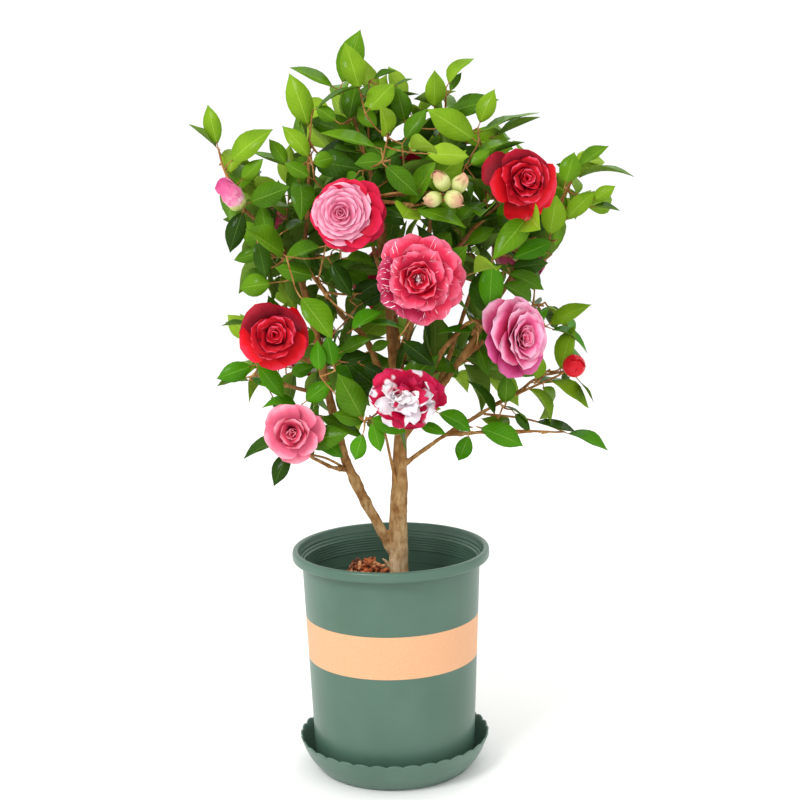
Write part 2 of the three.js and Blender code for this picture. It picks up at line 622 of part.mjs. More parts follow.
// A shoot or leaf that would leave the mass's space, or touch a limb or another mass's bloom, is skipped.
function fits(mass, solid, taken) {
  const { vertProperties } = solid.getMesh();
  for (let k = 0; k < vertProperties.length; k += 3) {
    if (!inOwnSpace(mass, vector(vertProperties.slice(k, k + 3)))) return false;
  }
  return solid.intersect(taken).isEmpty();
}

// The blooms and buds of a mass; extra is the clearance that the other masses keep from them.
function bloomsOf(mass, extra) {
  const solids = (mass.blooms ?? []).map(({ at, face, radius }) =>
    toSolid(place(bloomGeometry(radius + extra), vector(at), vector(face), up)));
  (mass.buds ?? []).forEach(({ at, face, radius, length }) => {
    const base = vector(at).addScaledVector(vector(face).normalize(), -0.5 * length);
    solids.push(toSolid(place(budGeometry(radius + extra, length + extra), base, vector(face), up)));
  });
  return wasm.Manifold.union(solids);
}

// Each bloom and bud has a stalk from the heart of its mass.
function stalksOf(mass, heart) {
  const blooms = (mass.blooms ?? []).map(({ at, face, radius }) => ({ at, face, sink: 0.45 * radius }));
  const buds = (mass.buds ?? []).map(({ at, face, length }) => ({ at, face, sink: 0.42 * length }));
  return [...blooms, ...buds].map(({ at, face, sink }) =>
    stalkSolid(heart, vector(at).addScaledVector(vector(face).normalize(), -sink), twig.stalkRadius));
}

function massSolid(mass, taken) {
  const { stem, shoots } = growMass(mass);
  const stemRadius = boughs.find((bough) => bough.name === mass.bough).radius[1];
  const blooms = bloomsOf(mass, 0);
  const stemSolid = shootSolid(stem, stemRadius, 4).subtract(taken);
  let wood = wasm.Manifold.union([stemSolid, ...stalksOf(mass, pointOn(stem, 0.6))]);
  const kept = [stem];
  shoots.forEach((tries) => {
    const shoot = tries.find((candidate) => {
      const solid = shootSolid(candidate, twig.shootRadius, 7);
      const crossing = tries.length > 1 && solid.intersect(wood).decompose().length > 1;
      return !crossing && fits(mass, solid, taken) && solid.intersect(blooms).isEmpty();
    });
    if (!shoot) return;
    wood = wood.add(shootSolid(shoot, twig.shootRadius, 7));
    kept.push(shoot);
  });
  let blades = blooms;
  kept.flatMap((shoot) => shoot.leaves).forEach((tries) => {
    const solid = tries.map(leafSolid).find((blade) => fits(mass, blade, taken)
      && blade.intersect(blades).isEmpty() && blade.intersect(wood).decompose().length === 1);
    if (solid) blades = blades.add(solid);
  });
  return mainBody(wood.add(blades));
}

// ---- the whole shrub ------------------------------------------------------------------------

const finishes = {
  pot: { color: '#6c8e7c', roughness: 0.5, metalness: 0 },
  soil: { color: '#4a3526', roughness: 0.95, metalness: 0 },
  chips: { color: '#9c5a34', roughness: 0.9, metalness: 0 },
  bark: { color: '#a98f6b', roughness: 0.85, metalness: 0 },
  foliage: { color: '#4c8f2c', roughness: 0.4, metalness: 0 },
};

function piece(name, geometry, finish) {
  const material = new THREE.MeshStandardMaterial({ ...finish, flatShading: true });
  const mesh = new THREE.Mesh(geometry, material);
  mesh.name = name;
  return mesh;
}

function buildShrub() {
  const shrub = new THREE.Group();
  const soilSolid = toSolid(soilGeometry());
  const { limbs, taken } = growLimbs();
  const heap = toSolid(chipsGeometry()).subtract(soilSolid.translate([0, 0, gap])).subtract(taken);
  shrub.add(piece('saucer', saucerGeometry(), finishes.pot));
  shrub.add(piece('pot', potGeometry(), finishes.pot));
  shrub.add(piece('potting_soil', toGeometry(soilSolid), finishes.soil));
  shrub.add(piece('bark_chips', toGeometry(mainBody(heap)), finishes.chips));
  Object.entries(limbs).forEach(([name, solid]) => {
    shrub.add(piece(name, toGeometry(solid), finishes.bark));
  });
  const bloomSpaces = masses.map((mass) => bloomsOf(mass, 0.6));
  masses.forEach((mass, index) => {
    const others = bloomSpaces.filter((_, other) => other !== index);
    const solid = massSolid(mass, wasm.Manifold.union([taken, ...others]));
    shrub.add(piece(mass.name, toGeometry(solid), finishes.foliage));
  });
  return shrub;
}

export default buildShrub();
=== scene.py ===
import math

import bmesh
import bpy
import numpy as np
from mathutils import Matrix, Vector, noise


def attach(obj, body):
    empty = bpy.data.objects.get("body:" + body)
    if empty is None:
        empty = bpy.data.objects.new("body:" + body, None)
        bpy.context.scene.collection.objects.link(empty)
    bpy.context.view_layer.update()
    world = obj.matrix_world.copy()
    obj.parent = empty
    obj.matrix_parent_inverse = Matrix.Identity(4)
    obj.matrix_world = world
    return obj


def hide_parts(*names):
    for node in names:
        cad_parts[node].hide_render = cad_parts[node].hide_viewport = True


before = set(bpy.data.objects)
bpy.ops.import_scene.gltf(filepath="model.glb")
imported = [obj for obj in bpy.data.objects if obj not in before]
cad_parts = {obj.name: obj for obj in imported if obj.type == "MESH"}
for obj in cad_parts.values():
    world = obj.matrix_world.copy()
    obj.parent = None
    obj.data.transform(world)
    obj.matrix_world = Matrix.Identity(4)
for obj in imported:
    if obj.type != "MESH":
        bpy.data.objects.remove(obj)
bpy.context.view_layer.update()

scene = bpy.context.scene
mm = 0.001                      # lengths below are millimetres unless a note says otherwise
up = Vector((0, 0, 1))
goldenAngle = 2.39996
noise.seed_set(5)               # so that each run gives the same shapes

# the camera stands 1.95 m before the plant and looks a little down
cameraSettings = {"place": (0.016, -1.95, 0.83), "pitch": 9.8, "roll": 1.15, "lens": 68.6}
lensData = bpy.data.cameras.new("camera")
lensData.lens = cameraSettings["lens"]
lensData.sensor_width = 36
camera = bpy.data.objects.new("camera", lensData)
camera.matrix_world = (Matrix.Translation(cameraSettings["place"])
                       @ Matrix.Rotation(math.radians(90 - cameraSettings["pitch"]), 4, "X")
                       @ Matrix.Rotation(math.radians(-cameraSettings["roll"]), 4, "Z"))
scene.collection.objects.link(camera)
scene.camera = camera


def mix(a, b, share):
    return a + (b - a) * share


def clamp(value, low=0.0, high=1.0):
    return max(low, min(high, value))


def smoothStep(value, low, high):
    share = clamp((value - low) / (high - low))
    return share * share * (3 - 2 * share)


def linear(code):
    channels = [int(code[k:k + 2], 16) / 255 for k in (1, 3, 5)]
    return [c / 12.92 if c <= 0.04045 else ((c + 0.055) / 1.055) ** 2.4 for c in channels] + [1]


# the same repeatable stream of numbers from 0 to 1 that the solids grow by
def stream(seed):
    state = [seed & 0xffffffff]

    def draw():
        state[0] = (state[0] + 0x6d2b79f5) & 0xffffffff
        mixed = ((state[0] ^ (state[0] >> 15)) * (state[0] | 1)) & 0xffffffff
        mixed ^= (mixed + (mixed ^ (mixed >> 7)) * (mixed | 61)) & 0xffffffff
        return ((mixed ^ (mixed >> 14)) & 0xffffffff) / 4294967296
    return draw


def addNode(material, kind, settings=None, links=None):
    tree = material.node_tree
    node = tree.nodes.new("ShaderNode" + kind)
    for name, value in (settings or {}).items():
        if name == "stops":     # the places and colours of a ramp
            ramp = node.color_ramp
            ramp.elements[0].position, ramp.elements[1].position = value[0][0], value[-1][0]
            ramp.elements[0].color, ramp.elements[1].color = linear(value[0][1]), linear(value[-1][1])
            for place, code in value[1:-1]:
                ramp.elements.new(place).color = linear(code)
        elif isinstance(name, int) or name in node.inputs:
            node.inputs[name].default_value = value
        else:
            setattr(node, name, value)
    for name, source in (links or {}).items():
        tree.links.new(source, node.inputs[name])
    return node


def newMaterial(name, settings):
    material = bpy.data.materials.new(name)
    material.use_nodes = True
    shader = material.node_tree.nodes["Principled BSDF"]
    for key, value in settings.items():
        shader.inputs[key].default_value = linear(value) if key == "Base Color" else value
    return material


def feed(material, sockets):
    shader = material.node_tree.nodes["Principled BSDF"]
    for key, source in sockets.items():
        material.node_tree.links.new(source, shader.inputs[key])
    return material


# mottled colour: noise on the object's own coordinates, run through a ramp
def mottle(material, where, scale, detail, stops):
    clouds = addNode(material, "TexNoise", {"Scale": scale, "Detail": detail},
                     {"Vector": where.outputs["Object"]})
    return clouds, addNode(material, "ValToRGB", {"stops": stops}, {"Fac": clouds.outputs["Fac"]})


# a frame with the given axes, its origin at a place
def axesFrame(x, y, z, place):
    matrix = Matrix((x, y, z)).transposed().to_4x4()
    matrix.translation = place
    return matrix


def addPiece(name, mesh, materials, replaced=()):
    piece = bpy.data.objects.new(name, mesh)
    scene.collection.objects.link(piece)
    for number, material in enumerate(materials):
        if number < len(mesh.materials):
            mesh.materials[number] = material
        else:
            mesh.materials.append(material)
    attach(piece, "root")
    if replaced:
        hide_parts(*replaced)
    return piece


def toMesh(bm, name):
    mesh = bpy.data.meshes.new(name)
    for face in bm.faces:
        face.smooth = True
    bm.to_mesh(mesh)
    bm.free()
    return mesh


# turns a profile of (radius, height) round the upright axis
def spin(bm, profile, steps, merge):
    corners = [bm.verts.new((radius, 0, height)) for radius, height in profile]
    edges = [bm.edges.new(pair) for pair in zip(corners, corners[1:])]
    bmesh.ops.spin(bm, geom=corners + edges, angle=2 * math.pi, steps=steps, axis=(0, 0, 1),
                   cent=(0, 0, 0), use_merge=True)
    bmesh.ops.remove_doubles(bm, verts=bm.verts, dist=merge)
    bmesh.ops.recalc_face_normals(bm, faces=bm.faces)


def spunShape(profile, steps):
    bm = bmesh.new()
    spin(bm, [(radius * mm, height * mm) for radius, height in profile], steps, 1e-6)
    return bm


# the mesh of an object with its modifiers or bevel applied; the object itself goes
def finishedMesh(holder):
    mesh = bpy.data.meshes.new_from_object(holder.evaluated_get(bpy.context.evaluated_depsgraph_get()))
    bpy.data.objects.remove(holder)
    return mesh


# round tubes along lines of (points, radii, material number), as one mesh
def tubesMesh(name, lines, roundness):
    curve = bpy.data.curves.new(name, "CURVE")
    curve.dimensions = "3D"
    curve.bevel_depth = mm      # so a point's radius is in millimetres
    curve.bevel_resolution = roundness
    curve.use_fill_caps = True
    for points, radii, number in lines:
        spline = curve.splines.new("POLY")
        spline.points.add(len(points) - 1)
        spline.points.foreach_set("co", [c for p in points for c in (p.x * mm, p.y * mm, p.z * mm, 1)])
        spline.points.foreach_set("radius", list(radii))
        spline.material_index = number
        spline.use_smooth = True
    holder = bpy.data.objects.new(name, curve)
    scene.collection.objects.link(holder)
    for number in range(1 + max(line[2] for line in lines)):
        curve.materials.append(None)
    return finishedMesh(holder)


# writes each corner's place on the map, given by its vertex
def setMap(bm, mapLayer, spots):
    for face in bm.faces:
        for loop in face.loops:
            loop[mapLayer].uv = spots[loop.vert.index]


# turns an open sheet into a thin closed shell; its lower side gets the second material
def thicken(bm, depth):
    bmesh.ops.recalc_face_normals(bm, faces=bm.faces)
    if sum(face.normal.z for face in bm.faces) < 0:
        bmesh.ops.reverse_faces(bm, faces=bm.faces)
    before = set(bm.faces)
    lower = bmesh.ops.extrude_face_region(bm, geom=bm.faces[:])["geom"]
    bmesh.ops.translate(bm, vec=(0, 0, -depth), verts=[item for item in lower
                                                       if isinstance(item, bmesh.types.BMVert)])
    bmesh.ops.recalc_face_normals(bm, faces=bm.faces)
    for face in bm.faces:
        face.smooth = True
        face.material_index = 0 if face in before else 1


# the points, faces, map and material numbers of a small shape, ready to be repeated
def arraysOf(bm):
    mapLayer = bm.loops.layers.uv.active
    bm.verts.index_update()
    loops = [loop for face in bm.faces for loop in face.loops]
    uv = [loop[mapLayer].uv if mapLayer else (0, 0) for loop in loops]
    arrays = {
        "points": np.array([vert.co for vert in bm.verts], float),
        "corners": np.array([loop.vert.index for loop in loops]),
        "sizes": np.array([len(face.verts) for face in bm.faces]),
        "numbers": np.array([face.material_index for face in bm.faces]),
        "smooth": np.array([face.smooth for face in bm.faces]),
        "map": np.array(uv, float),
    }
    bm.free()
    return arrays


# one mesh of many copies: each is (shape, 4x4 matrix in millimetres, material numbers)
def joinCopies(name, shapes, copies):
    points, corners, sizes, numbers, maps, smooth = [], [], [], [], [], []
    first = 0
    for which, matrix, palette in copies:
        shape = shapes[which]
        turn = np.array(matrix, float)
        points.append((shape["points"] @ turn[:3, :3].T + turn[:3, 3]) * mm)
        corners.append(shape["corners"] + first)
        first += len(shape["points"])
        sizes.append(shape["sizes"])
        numbers.append(np.array(palette)[shape["numbers"]])
        maps.append(shape["map"])
        smooth.append(shape["smooth"])
    points, corners, sizes = np.concatenate(points), np.concatenate(corners), np.concatenate(sizes)
    mesh = bpy.data.meshes.new(name)
    mesh.vertices.add(len(points))
    mesh.vertices.foreach_set("co", points.ravel())
    mesh.loops.add(len(corners))
    mesh.loops.foreach_set("vertex_index", corners)
    mesh.polygons.add(len(sizes))
    mesh.polygons.foreach_set("loop_start", np.concatenate([[0], np.cumsum(sizes)[:-1]]))
    mesh.polygons.foreach_set("material_index", np.concatenate(numbers))
    mesh.polygons.foreach_set("use_smooth", np.concatenate(smooth))
    mesh.uv_layers.new(name="acrossAndAlong").data.foreach_set("uv", np.concatenate(maps).ravel())
    mesh.update(calc_edges=True)
    mesh.validate()
    print(name, len(copies), "copies,", int((sizes - 2).sum()), "triangles")
    return mesh


# polypropylene, injection moulded: a soft sheen, a faint orange-peel, hardly any mottling
def mouldedPlastic(name, light, dark):
    material = newMaterial(name, {"Roughness": 0.34, "IOR": 1.49, "Specular IOR Level": 0.4})
    where = addNode(material, "TexCoord")
    clouds, colour = mottle(material, where, 14, 3, [(0.35, dark), (0.65, light)])
    # orange-peel 1.6 mm across, drawn a little coarser than life so that it shows
    peel = addNode(material, "TexNoise", {"Scale": 620, "Detail": 2}, {"Vector": where.outputs["Object"]})
    bump = addNode(material, "Bump", {"Strength": 0.12, "Distance": 0.0004}, {"Height": peel.outputs["Fac"]})
    sheen = addNode(material, "MapRange", {"To Min": 0.28, "To Max": 0.4}, {"Value": clouds.outputs["Fac"]})
    return feed(material, {"Base Color": colour.outputs["Color"], "Normal": bump.outputs["Normal"],
                           "Roughness": sheen.outputs["Result"]})


potPlastic = mouldedPlastic("polypropylene_moulded_green", "#527061", "#4b6959")
saucerPlastic = mouldedPlastic("polypropylene_moulded_green_saucer", "#577465", "#4f6c5d")

# printed ink film on the pot: matt, even, with a slight grain
inkFilm = newMaterial("ink_film_peach", {"Roughness": 0.55, "IOR": 1.47})
inkColour = mottle(inkFilm, addNode(inkFilm, "TexCoord"), 300, 4, [(0.2, "#dfa67a"), (0.8, "#e6b086")])[1]
feed(inkFilm, {"Base Color": inkColour.outputs["Color"]})

pot = {
    "steps": 168, "band": (153.5, 210), "taper": (107, 117.4),
    "outside": [(0, 3.3), (94, 3.3), (98, 4.4), (101, 6.5), (103.8, 9.7), (105.5, 14), (106.5, 19),
                (107, 25)],
    "shoulder": [(117.38, 284), (117.6, 284.5), (118.2, 284.8), (119, 284.85), (127.6, 284.9), (128.9, 285.3),
                 (129.6, 286.2), (129.9, 287.4), (130, 290), (129.8, 294), (129.3, 296), (128.2, 297.3),
                 (126.6, 298), (124.6, 297.9), (123.2, 297.2), (122.3, 296), (121.7, 294.2), (121.2, 291.6)],
    "ribs": 8, "ribPitch": 3.6, "ribDepth": 0.7, "firstRib": 288.5, "lines": (246, 232),
    "wall": 2.6, "floor": 6.7,
}
saucer = {
    "steps": 288, "scallops": 36, "drop": 3, "pinch": 1.2,
    "profile": [(0, 0), (97, 0), (101, 0.9), (104, 3), (107.5, 7.4), (112, 13), (115, 17), (118.4, 23),
                (118.9, 24.1), (121.6, 30), (124.2, 36.4), (126, 41), (126.6, 43), (126, 44), (124.9, 43.9),
                (124, 42.6), (121.6, 36.8), (118.6, 30), (115.6, 23.4), (112.6, 18), (109, 12.6), (105.4, 7),
                (102.6, 4.3), (99, 3), (0, 3)],
}


def potWall(height):
    return mix(*pot["taper"], (height - 25) / 259.5)


def potInside(height):
    return potWall(height) - pot["wall"]


def buildPot():
    profile = list(pot["outside"])
    low, high = pot["band"]
    for height in (26, 60, 110, low, high, 250, 283):
        profile.append((potWall(height), height))
    profile += pot["shoulder"]
    for k in range(pot["ribs"]):
        height = pot["firstRib"] - k * pot["ribPitch"]
        wall = potInside(height) if height < 284 else mix(118, 120.6, (height - 284) / 6)
        profile += [(wall, height), (wall - pot["ribDepth"], height - 1.1), (wall, height - 2.2)]
    profile.append((potInside(258), 258))
    for height in pot["lines"]:
        profile += [(potInside(height + 1), height + 1), (potInside(height), height),
                    (potInside(height) - 0.5, height - 1.2), (potInside(height), height - 2.4),
                    (potInside(height - 4), height - 4)]
    profile += [(potInside(160), 160), (potInside(25), 25), (103, 15), (100, 9.6), (94, pot["floor"]),
                (0, pot["floor"])]
    bm = spunShape(profile, pot["steps"])
    for face in bm.faces:
        middle = face.calc_center_median()
        outward = math.hypot(middle.x, middle.y) > potWall(middle.z / mm) * mm * 0.992
        if outward and low * mm < middle.z < high * mm:
            face.material_index = 1
    addPiece("nursery_pot", toMesh(bm, "nursery_pot"), [potPlastic, inkFilm], ["pot"])


def buildSaucer():
    bm = spunShape(saucer["profile"], saucer["steps"])
    for vert in bm.verts:
        height = vert.co.z / mm
        crest = abs(math.cos(0.5 * saucer["scallops"] * math.atan2(vert.co.y, vert.co.x))) ** 0.8
        share = clamp((height - 17) / 27) ** 2 * (1 - crest)
        radius = math.hypot(vert.co.x, vert.co.y)
        if radius > 0:
            vert.co.xy *= 1 - saucer["pinch"] * mm * share / radius
        vert.co.z -= saucer["drop"] * mm * share
    addPiece("scalloped_saucer", toMesh(bm, "scalloped_saucer"), [saucerPlastic],
             ["saucer"])


buildPot()
buildSaucer()
print("pot and saucer done")

# peat and composted bark: near black and dull, with brown fibres
pottingMix = newMaterial("potting_mix_peat", {"Roughness": 0.95})
mixGrain, mixColour = mottle(pottingMix, addNode(pottingMix, "TexCoord"), 260, 5,
                             [(0.3, "#1d140e"), (0.55, "#3d2b1e"), (0.75, "#5c432d")])
mixBump = addNode(pottingMix, "Bump", {"Strength": 0.8, "Distance": 0.002},
                  {"Height": mixGrain.outputs["Fac"]})
feed(pottingMix, {"Base Color": mixColour.outputs["Color"], "Normal": mixBump.outputs["Normal"]})


# pine bark, broken: dry, fibrous along its length, each chip in one of a few browns
def chipBark(name, light, dark):
    material = newMaterial(name, {"Roughness": 0.85})
    fibres, colour = mottle(material, addNode(material, "TexCoord"), 420, 3, [(0.35, dark), (0.65, light)])
    bump = addNode(material, "Bump", {"Strength": 0.6, "Distance": 0.0008}, {"Height": fibres.outputs["Fac"]})
    return feed(material, {"Base Color": colour.outputs["Color"], "Normal": bump.outputs["Normal"]})


chipBarks = [chipBark(*row) for row in (
    ("pine_bark_rust", "#b05a2e", "#7e3a1c"), ("pine_bark_orange", "#c8703c", "#9c4a24"),
    ("pine_bark_brown", "#7a4226", "#522a17"), ("pine_bark_pale", "#dca070", "#b8784a"))]

soil = {"ground": 250, "edge": 213, "base": 180, "gap": 0.3, "flatRadius": 27, "shoulder": 60,
        "crumbs": 1500, "loose": 34}
chips = {"centre": (-33, -6), "reach": (30, 24), "height": 31, "count": 420, "size": (7, 17)}


def soilHeight(radius):
    fall = smoothStep(radius, soil["flatRadius"], soil["flatRadius"] + soil["shoulder"])
    sink = clamp((radius - soil["flatRadius"]) / (112 - soil["flatRadius"]))
    return mix(soil["ground"], soil["edge"], 0.6 * fall + 0.4 * sink)


def crumbShape(seed, squash):
    bm = bmesh.new()
    bmesh.ops.create_icosphere(bm, subdivisions=1, radius=0.5)
    for vert in bm.verts:
        vert.co *= 1 + 0.5 * noise.noise(vert.co * 2.3 + Vector((seed, 0, 0)))
    bmesh.ops.scale(bm, vec=squash, verts=bm.verts)
    return arraysOf(bm)


def chipShape(seed):
    bm = bmesh.new()
    bmesh.ops.create_cube(bm, size=1)
    bmesh.ops.subdivide_edges(bm, edges=bm.edges, cuts=1, use_grid_fill=True)
    for vert in bm.verts:
        vert.co += 0.22 * noise.noise_vector(vert.co * 1.7 + Vector((0, seed, 0)))
        vert.co.y *= 1 - 0.55 * abs(vert.co.x)
    bmesh.ops.scale(bm, vec=(1, 0.34, 0.17), verts=bm.verts)
    return arraysOf(bm)


def tumbled(place, size, draw, flatness):
    turn = (Matrix.Rotation(2 * math.pi * draw(), 4, "Z")
            @ Matrix.Rotation((draw() - 0.5) * flatness, 4, "X")
            @ Matrix.Rotation((draw() - 0.5) * flatness, 4, "Y"))
    return Matrix.Translation(place) @ turn @ Matrix.Scale(size, 4)


def buildSoil():
    edge = potInside(soil["edge"]) - soil["gap"]
    bm = bmesh.new()
    bmesh.ops.create_circle(bm, cap_ends=True, cap_tris=True, segments=72, radius=1)
    for cut in range(4):
        bmesh.ops.subdivide_edges(bm, edges=bm.edges, cuts=1, use_grid_fill=True)
    bmesh.ops.triangulate(bm, faces=bm.faces)
    for vert in bm.verts:
        vert.co.xy *= edge / math.cos(math.pi / 72)
        radius = min(vert.co.xy.length, edge)
        rough = 1.6 * noise.noise(vert.co / 9) + 0.8 * noise.noise(vert.co / 3.5)
        vert.co.xy = vert.co.xy.normalized() * radius
        vert.co.z = soilHeight(radius) - 1 + rough
    base = bmesh.ops.extrude_face_region(bm, geom=bm.faces[:])["geom"]
    for vert in (item for item in base if isinstance(item, bmesh.types.BMVert)):
        vert.co.z = soil["base"]
    bmesh.ops.scale(bm, vec=(mm, mm, mm), verts=bm.verts)
    bmesh.ops.recalc_face_normals(bm, faces=bm.faces)
    addPiece("potting_mix_top", toMesh(bm, "potting_mix_top"), [pottingMix], ["potting_soil"])

    draw = stream(11)
    crumbs = [crumbShape(seed, squash) for seed, squash in
              ((1, (1, 0.8, 0.6)), (5, (1, 0.6, 0.5)), (9, (1, 0.35, 0.3)))]
    copies = []
    for k in range(soil["crumbs"]):
        radius = 112 * math.sqrt(draw())
        angle = 2 * math.pi * draw()
        size = 2 + 5 * draw() ** 2
        place = Vector((radius * math.cos(angle), radius * math.sin(angle), soilHeight(radius)))
        if radius < potInside(soil["edge"]) - 5:
            copies.append((k % 3, tumbled(place, size, draw, 1.5), [0]))
    addPiece("potting_mix_crumbs", joinCopies("potting_mix_crumbs", crumbs, copies), [pottingMix])


def buildChips():
    draw = stream(23)
    shapes = [chipShape(seed) for seed in (2, 7, 13, 21)]
    copies = []
    for k in range(chips["count"]):
        radius, angle = math.sqrt(draw()), 2 * math.pi * draw()
        x = chips["centre"][0] + chips["reach"][0] * radius * math.cos(angle)
        y = chips["centre"][1] + chips["reach"][1] * radius * math.sin(angle)
        height = soil["ground"] + chips["height"] * (1 - radius ** 3) * (0.2 + 0.8 * draw()) + 0.5
        copies.append((k % 4, tumbled((x, y, height), mix(*chips["size"], draw()), draw, 1.5),
                       [int(draw() * 3.6) % 4]))
    for k in range(soil["loose"]):      # a few stray chips round the heap
        radius, angle = 30 + 60 * draw() ** 1.5, 2 * math.pi * draw()
        place = (radius * math.cos(angle), radius * math.sin(angle), soilHeight(radius) + 1)
        copies.append((k % 4, tumbled(place, mix(5, 11, draw()), draw, 0.9), [int(draw() * 4)]))
    addPiece("bark_chip_heap", joinCopies("bark_chip_heap", shapes, copies), chipBarks,
             ["bark_chips"])


buildSoil()
buildChips()
print("soil and chips done")

trunk = {
    "path": [(9, 0, 244), (9, 0, 262), (12, 0, 360), (16, 1, 450)],
    "foot": 13.2, "waist": 11.6, "fork": 8.2, "flare": 5, "flareHeight": 9, "flareLobes": 3,
    "voxel": 1.25, "relief": 0.55,
    "spur": [(6, -3, 262), (-2, -7, 271), (-7, -9, 280), (-12, -10, 284)], "spurRadii": (4.2, 1.2),
}
# name, the limb that it leaves and at which share of that limb, the points that it passes, its radii
boughs = [
    ("bough_centre", "trunk", 1, [(9, 3, 520), (2, 10, 636), (-9, 18, 745)], (7.8, 3.6)),
    ("bough_left", "trunk", 0.4, [(-48, -10, 397), (-67, -15, 465), (-94, -20, 605), (-110, -16, 662)],
     (7.4, 3.8)),
    ("bough_right_leader", "bough_centre", 0.26, [(25, -9, 575), (44, 2, 655), (72, 8, 765)], (5.6, 3.1)),
    ("bough_right", "trunk", 0.96, [(66, 0, 505), (121, 0, 583), (194, 3, 706)], (5.4, 3)),
    ("bough_back", "trunk", 0.93, [(17, 60, 515), (12, 105, 590)], (5.6, 3.4)),
    ("bough_inner_left", "trunk", 0.98, [(-22, 30, 559), (-58, 42, 600), (-88, 66, 640)], (5, 2.9)),
    ("bough_low_right", "trunk", 0.82, [(45, -5, 427), (94, -10, 460), (166, -6, 500)], (3.4, 2.2)),
    ("bough_right_front", "trunk", 0.97, [(48, -18, 515), (70, -38, 560), (100, -62, 598)], (4.2, 2.7)),
    ("bough_lower_front", "trunk", 0.94, [(8, -46, 492)], (3.6, 2.6)),
    ("bough_top_left", "bough_left", 0.9, [(-100, -24, 700), (-92, -26, 762)], (3.6, 2.6)),
    ("bough_left_spray", "bough_left", 0.95, [(-136, -22, 706), (-176, -30, 746)], (3.2, 2.3)),
    ("bough_left_front", "bough_left", 0.64, [(-122, -52, 562)], (3.4, 2.4)),
    ("bough_left_outer", "bough_left", 0.57, [(-148, -4, 522)], (3.2, 2.3)),
    ("bough_low_left", "bough_left", 0.27, [(-72, -30, 412), (-96, -46, 428)], (3.3, 2.4)),
    ("bough_upper_front", "bough_centre", 0.62, [(-18, -58, 716)], (3.6, 2.6)),
    ("bough_back_top", "bough_centre", 0.6, [(0, 55, 690), (4, 82, 748)], (3.6, 2.6)),
    ("bough_upper_right", "bough_right_leader", 0.5, [(112, -42, 716)], (3.5, 2.6)),
    ("bough_centre_front", "bough_right_leader", 0.2, [(38, -58, 612)], (3.5, 2.6)),
    ("bough_centre_left", "bough_inner_left", 0.55, [(-72, -36, 630)], (3.3, 2.5)),
    ("bough_right_mid", "bough_right", 0.5, [(168, 6, 602)], (3.3, 2.4)),
    ("bough_back_right", "bough_right", 0.3, [(88, 40, 560), (112, 74, 622)], (3.8, 2.6)),
    ("bough_lowest_right", "bough_low_right", 0.55, [(150, -26, 456)], (2.8, 2.1)),
    ("bough_back_low_left", "bough_back", 0.3, [(-48, 86, 520)], (3.4, 2.4)),
    ("bough_back_low_right", "bough_back", 0.35, [(76, 88, 522)], (3.4, 2.4)),
]


# a point of the smooth line through a limb's points, at a share that runs evenly over its spans
def pathPoint(points, share):
    along = clamp(share) * (len(points) - 1)
    span = min(int(along), len(points) - 2)
    t = along - span
    before = points[span - 1] if span > 0 else points[0] * 2 - points[1]
    after = points[span + 2] if span + 2 < len(points) else points[-1] * 2 - points[-2]
    p1, p2 = points[span], points[span + 1]
    v1, v2 = (p2 - before) / 2, (after - p1) / 2
    return ((2 * p1 - 2 * p2 + v1 + v2) * t ** 3 + (-3 * p1 + 3 * p2 - 2 * v1 - v2) * t ** 2 + v1 * t + p1)


paths = {"trunk": [Vector(point) for point in trunk["path"]]}
for name, parent, share, points, radii in boughs:
    paths[name] = [pathPoint(paths[parent], share)] + [Vector(point) for point in points]


# thin tan bark: dull and mottled, pinkish at the foot and a warmer brown on the young wood higher up
def thinBark(name, byHeight, relief):
    material = newMaterial(name, {"Roughness": 0.75, "Specular IOR Level": 0.3})
    where = addNode(material, "TexCoord")
    place = addNode(material, "SeparateXYZ", {}, {"Vector": where.outputs["Object"]})
    rise = addNode(material, "MapRange", {"From Min": 0.25, "From Max": 0.75}, {"Value": place.outputs["Z"]})
    wood = addNode(material, "ValToRGB", {"stops": byHeight}, {"Fac": rise.outputs["Result"]})
    # streaks run up the limb: about 4 mm wide and three times as long
    stretch = addNode(material, "Mapping", {"Scale": (1, 1, 0.3)}, {"Vector": where.outputs["Object"]})
    streaks = addNode(material, "TexNoise", {"Scale": 240, "Detail": 5, "Roughness": 0.6},
                      {"Vector": stretch.outputs["Vector"]})
    dark = addNode(material, "ValToRGB", {"stops": [(0.3, "#b39d86"), (0.5, "#ebe3d8"), (0.68, "#ffffff")]},
                   {"Fac": streaks.outputs["Fac"]})
    shaded = addNode(material, "MixRGB", {"blend_type": "MULTIPLY", "Fac": 1},
                     {"Color1": wood.outputs["Color"], "Color2": dark.outputs["Color"]})
    patches = addNode(material, "TexNoise", {"Scale": 55, "Detail": 3}, {"Vector": where.outputs["Object"]})
    tan = addNode(material, "ValToRGB", {"stops": [(0.38, "#cdb594"), (0.62, "#ffffff")]},
                  {"Fac": patches.outputs["Fac"]})
    mottled = addNode(material, "MixRGB", {"blend_type": "MULTIPLY", "Fac": 1},
                      {"Color1": shaded.outputs["Color"], "Color2": tan.outputs["Color"]})
    bump = addNode(material, "Bump", {"Strength": relief, "Distance": 0.0008},
                   {"Height": streaks.outputs["Fac"]})
    return feed(material, {"Base Color": mottled.outputs["Color"], "Normal": bump.outputs["Normal"]})


limbBark = thinBark("camellia_bark", [(0, "#dec6aa"), (0.12, "#d0b286"), (0.35, "#be965e"), (0.6, "#b0844c"),
                                      (1, "#9c6c3c")], 0.6)
twigBark = thinBark("camellia_twig_bark", [(0, "#d2ac72"), (0.4, "#c89c60"), (1, "#ba8c52")], 0.3)


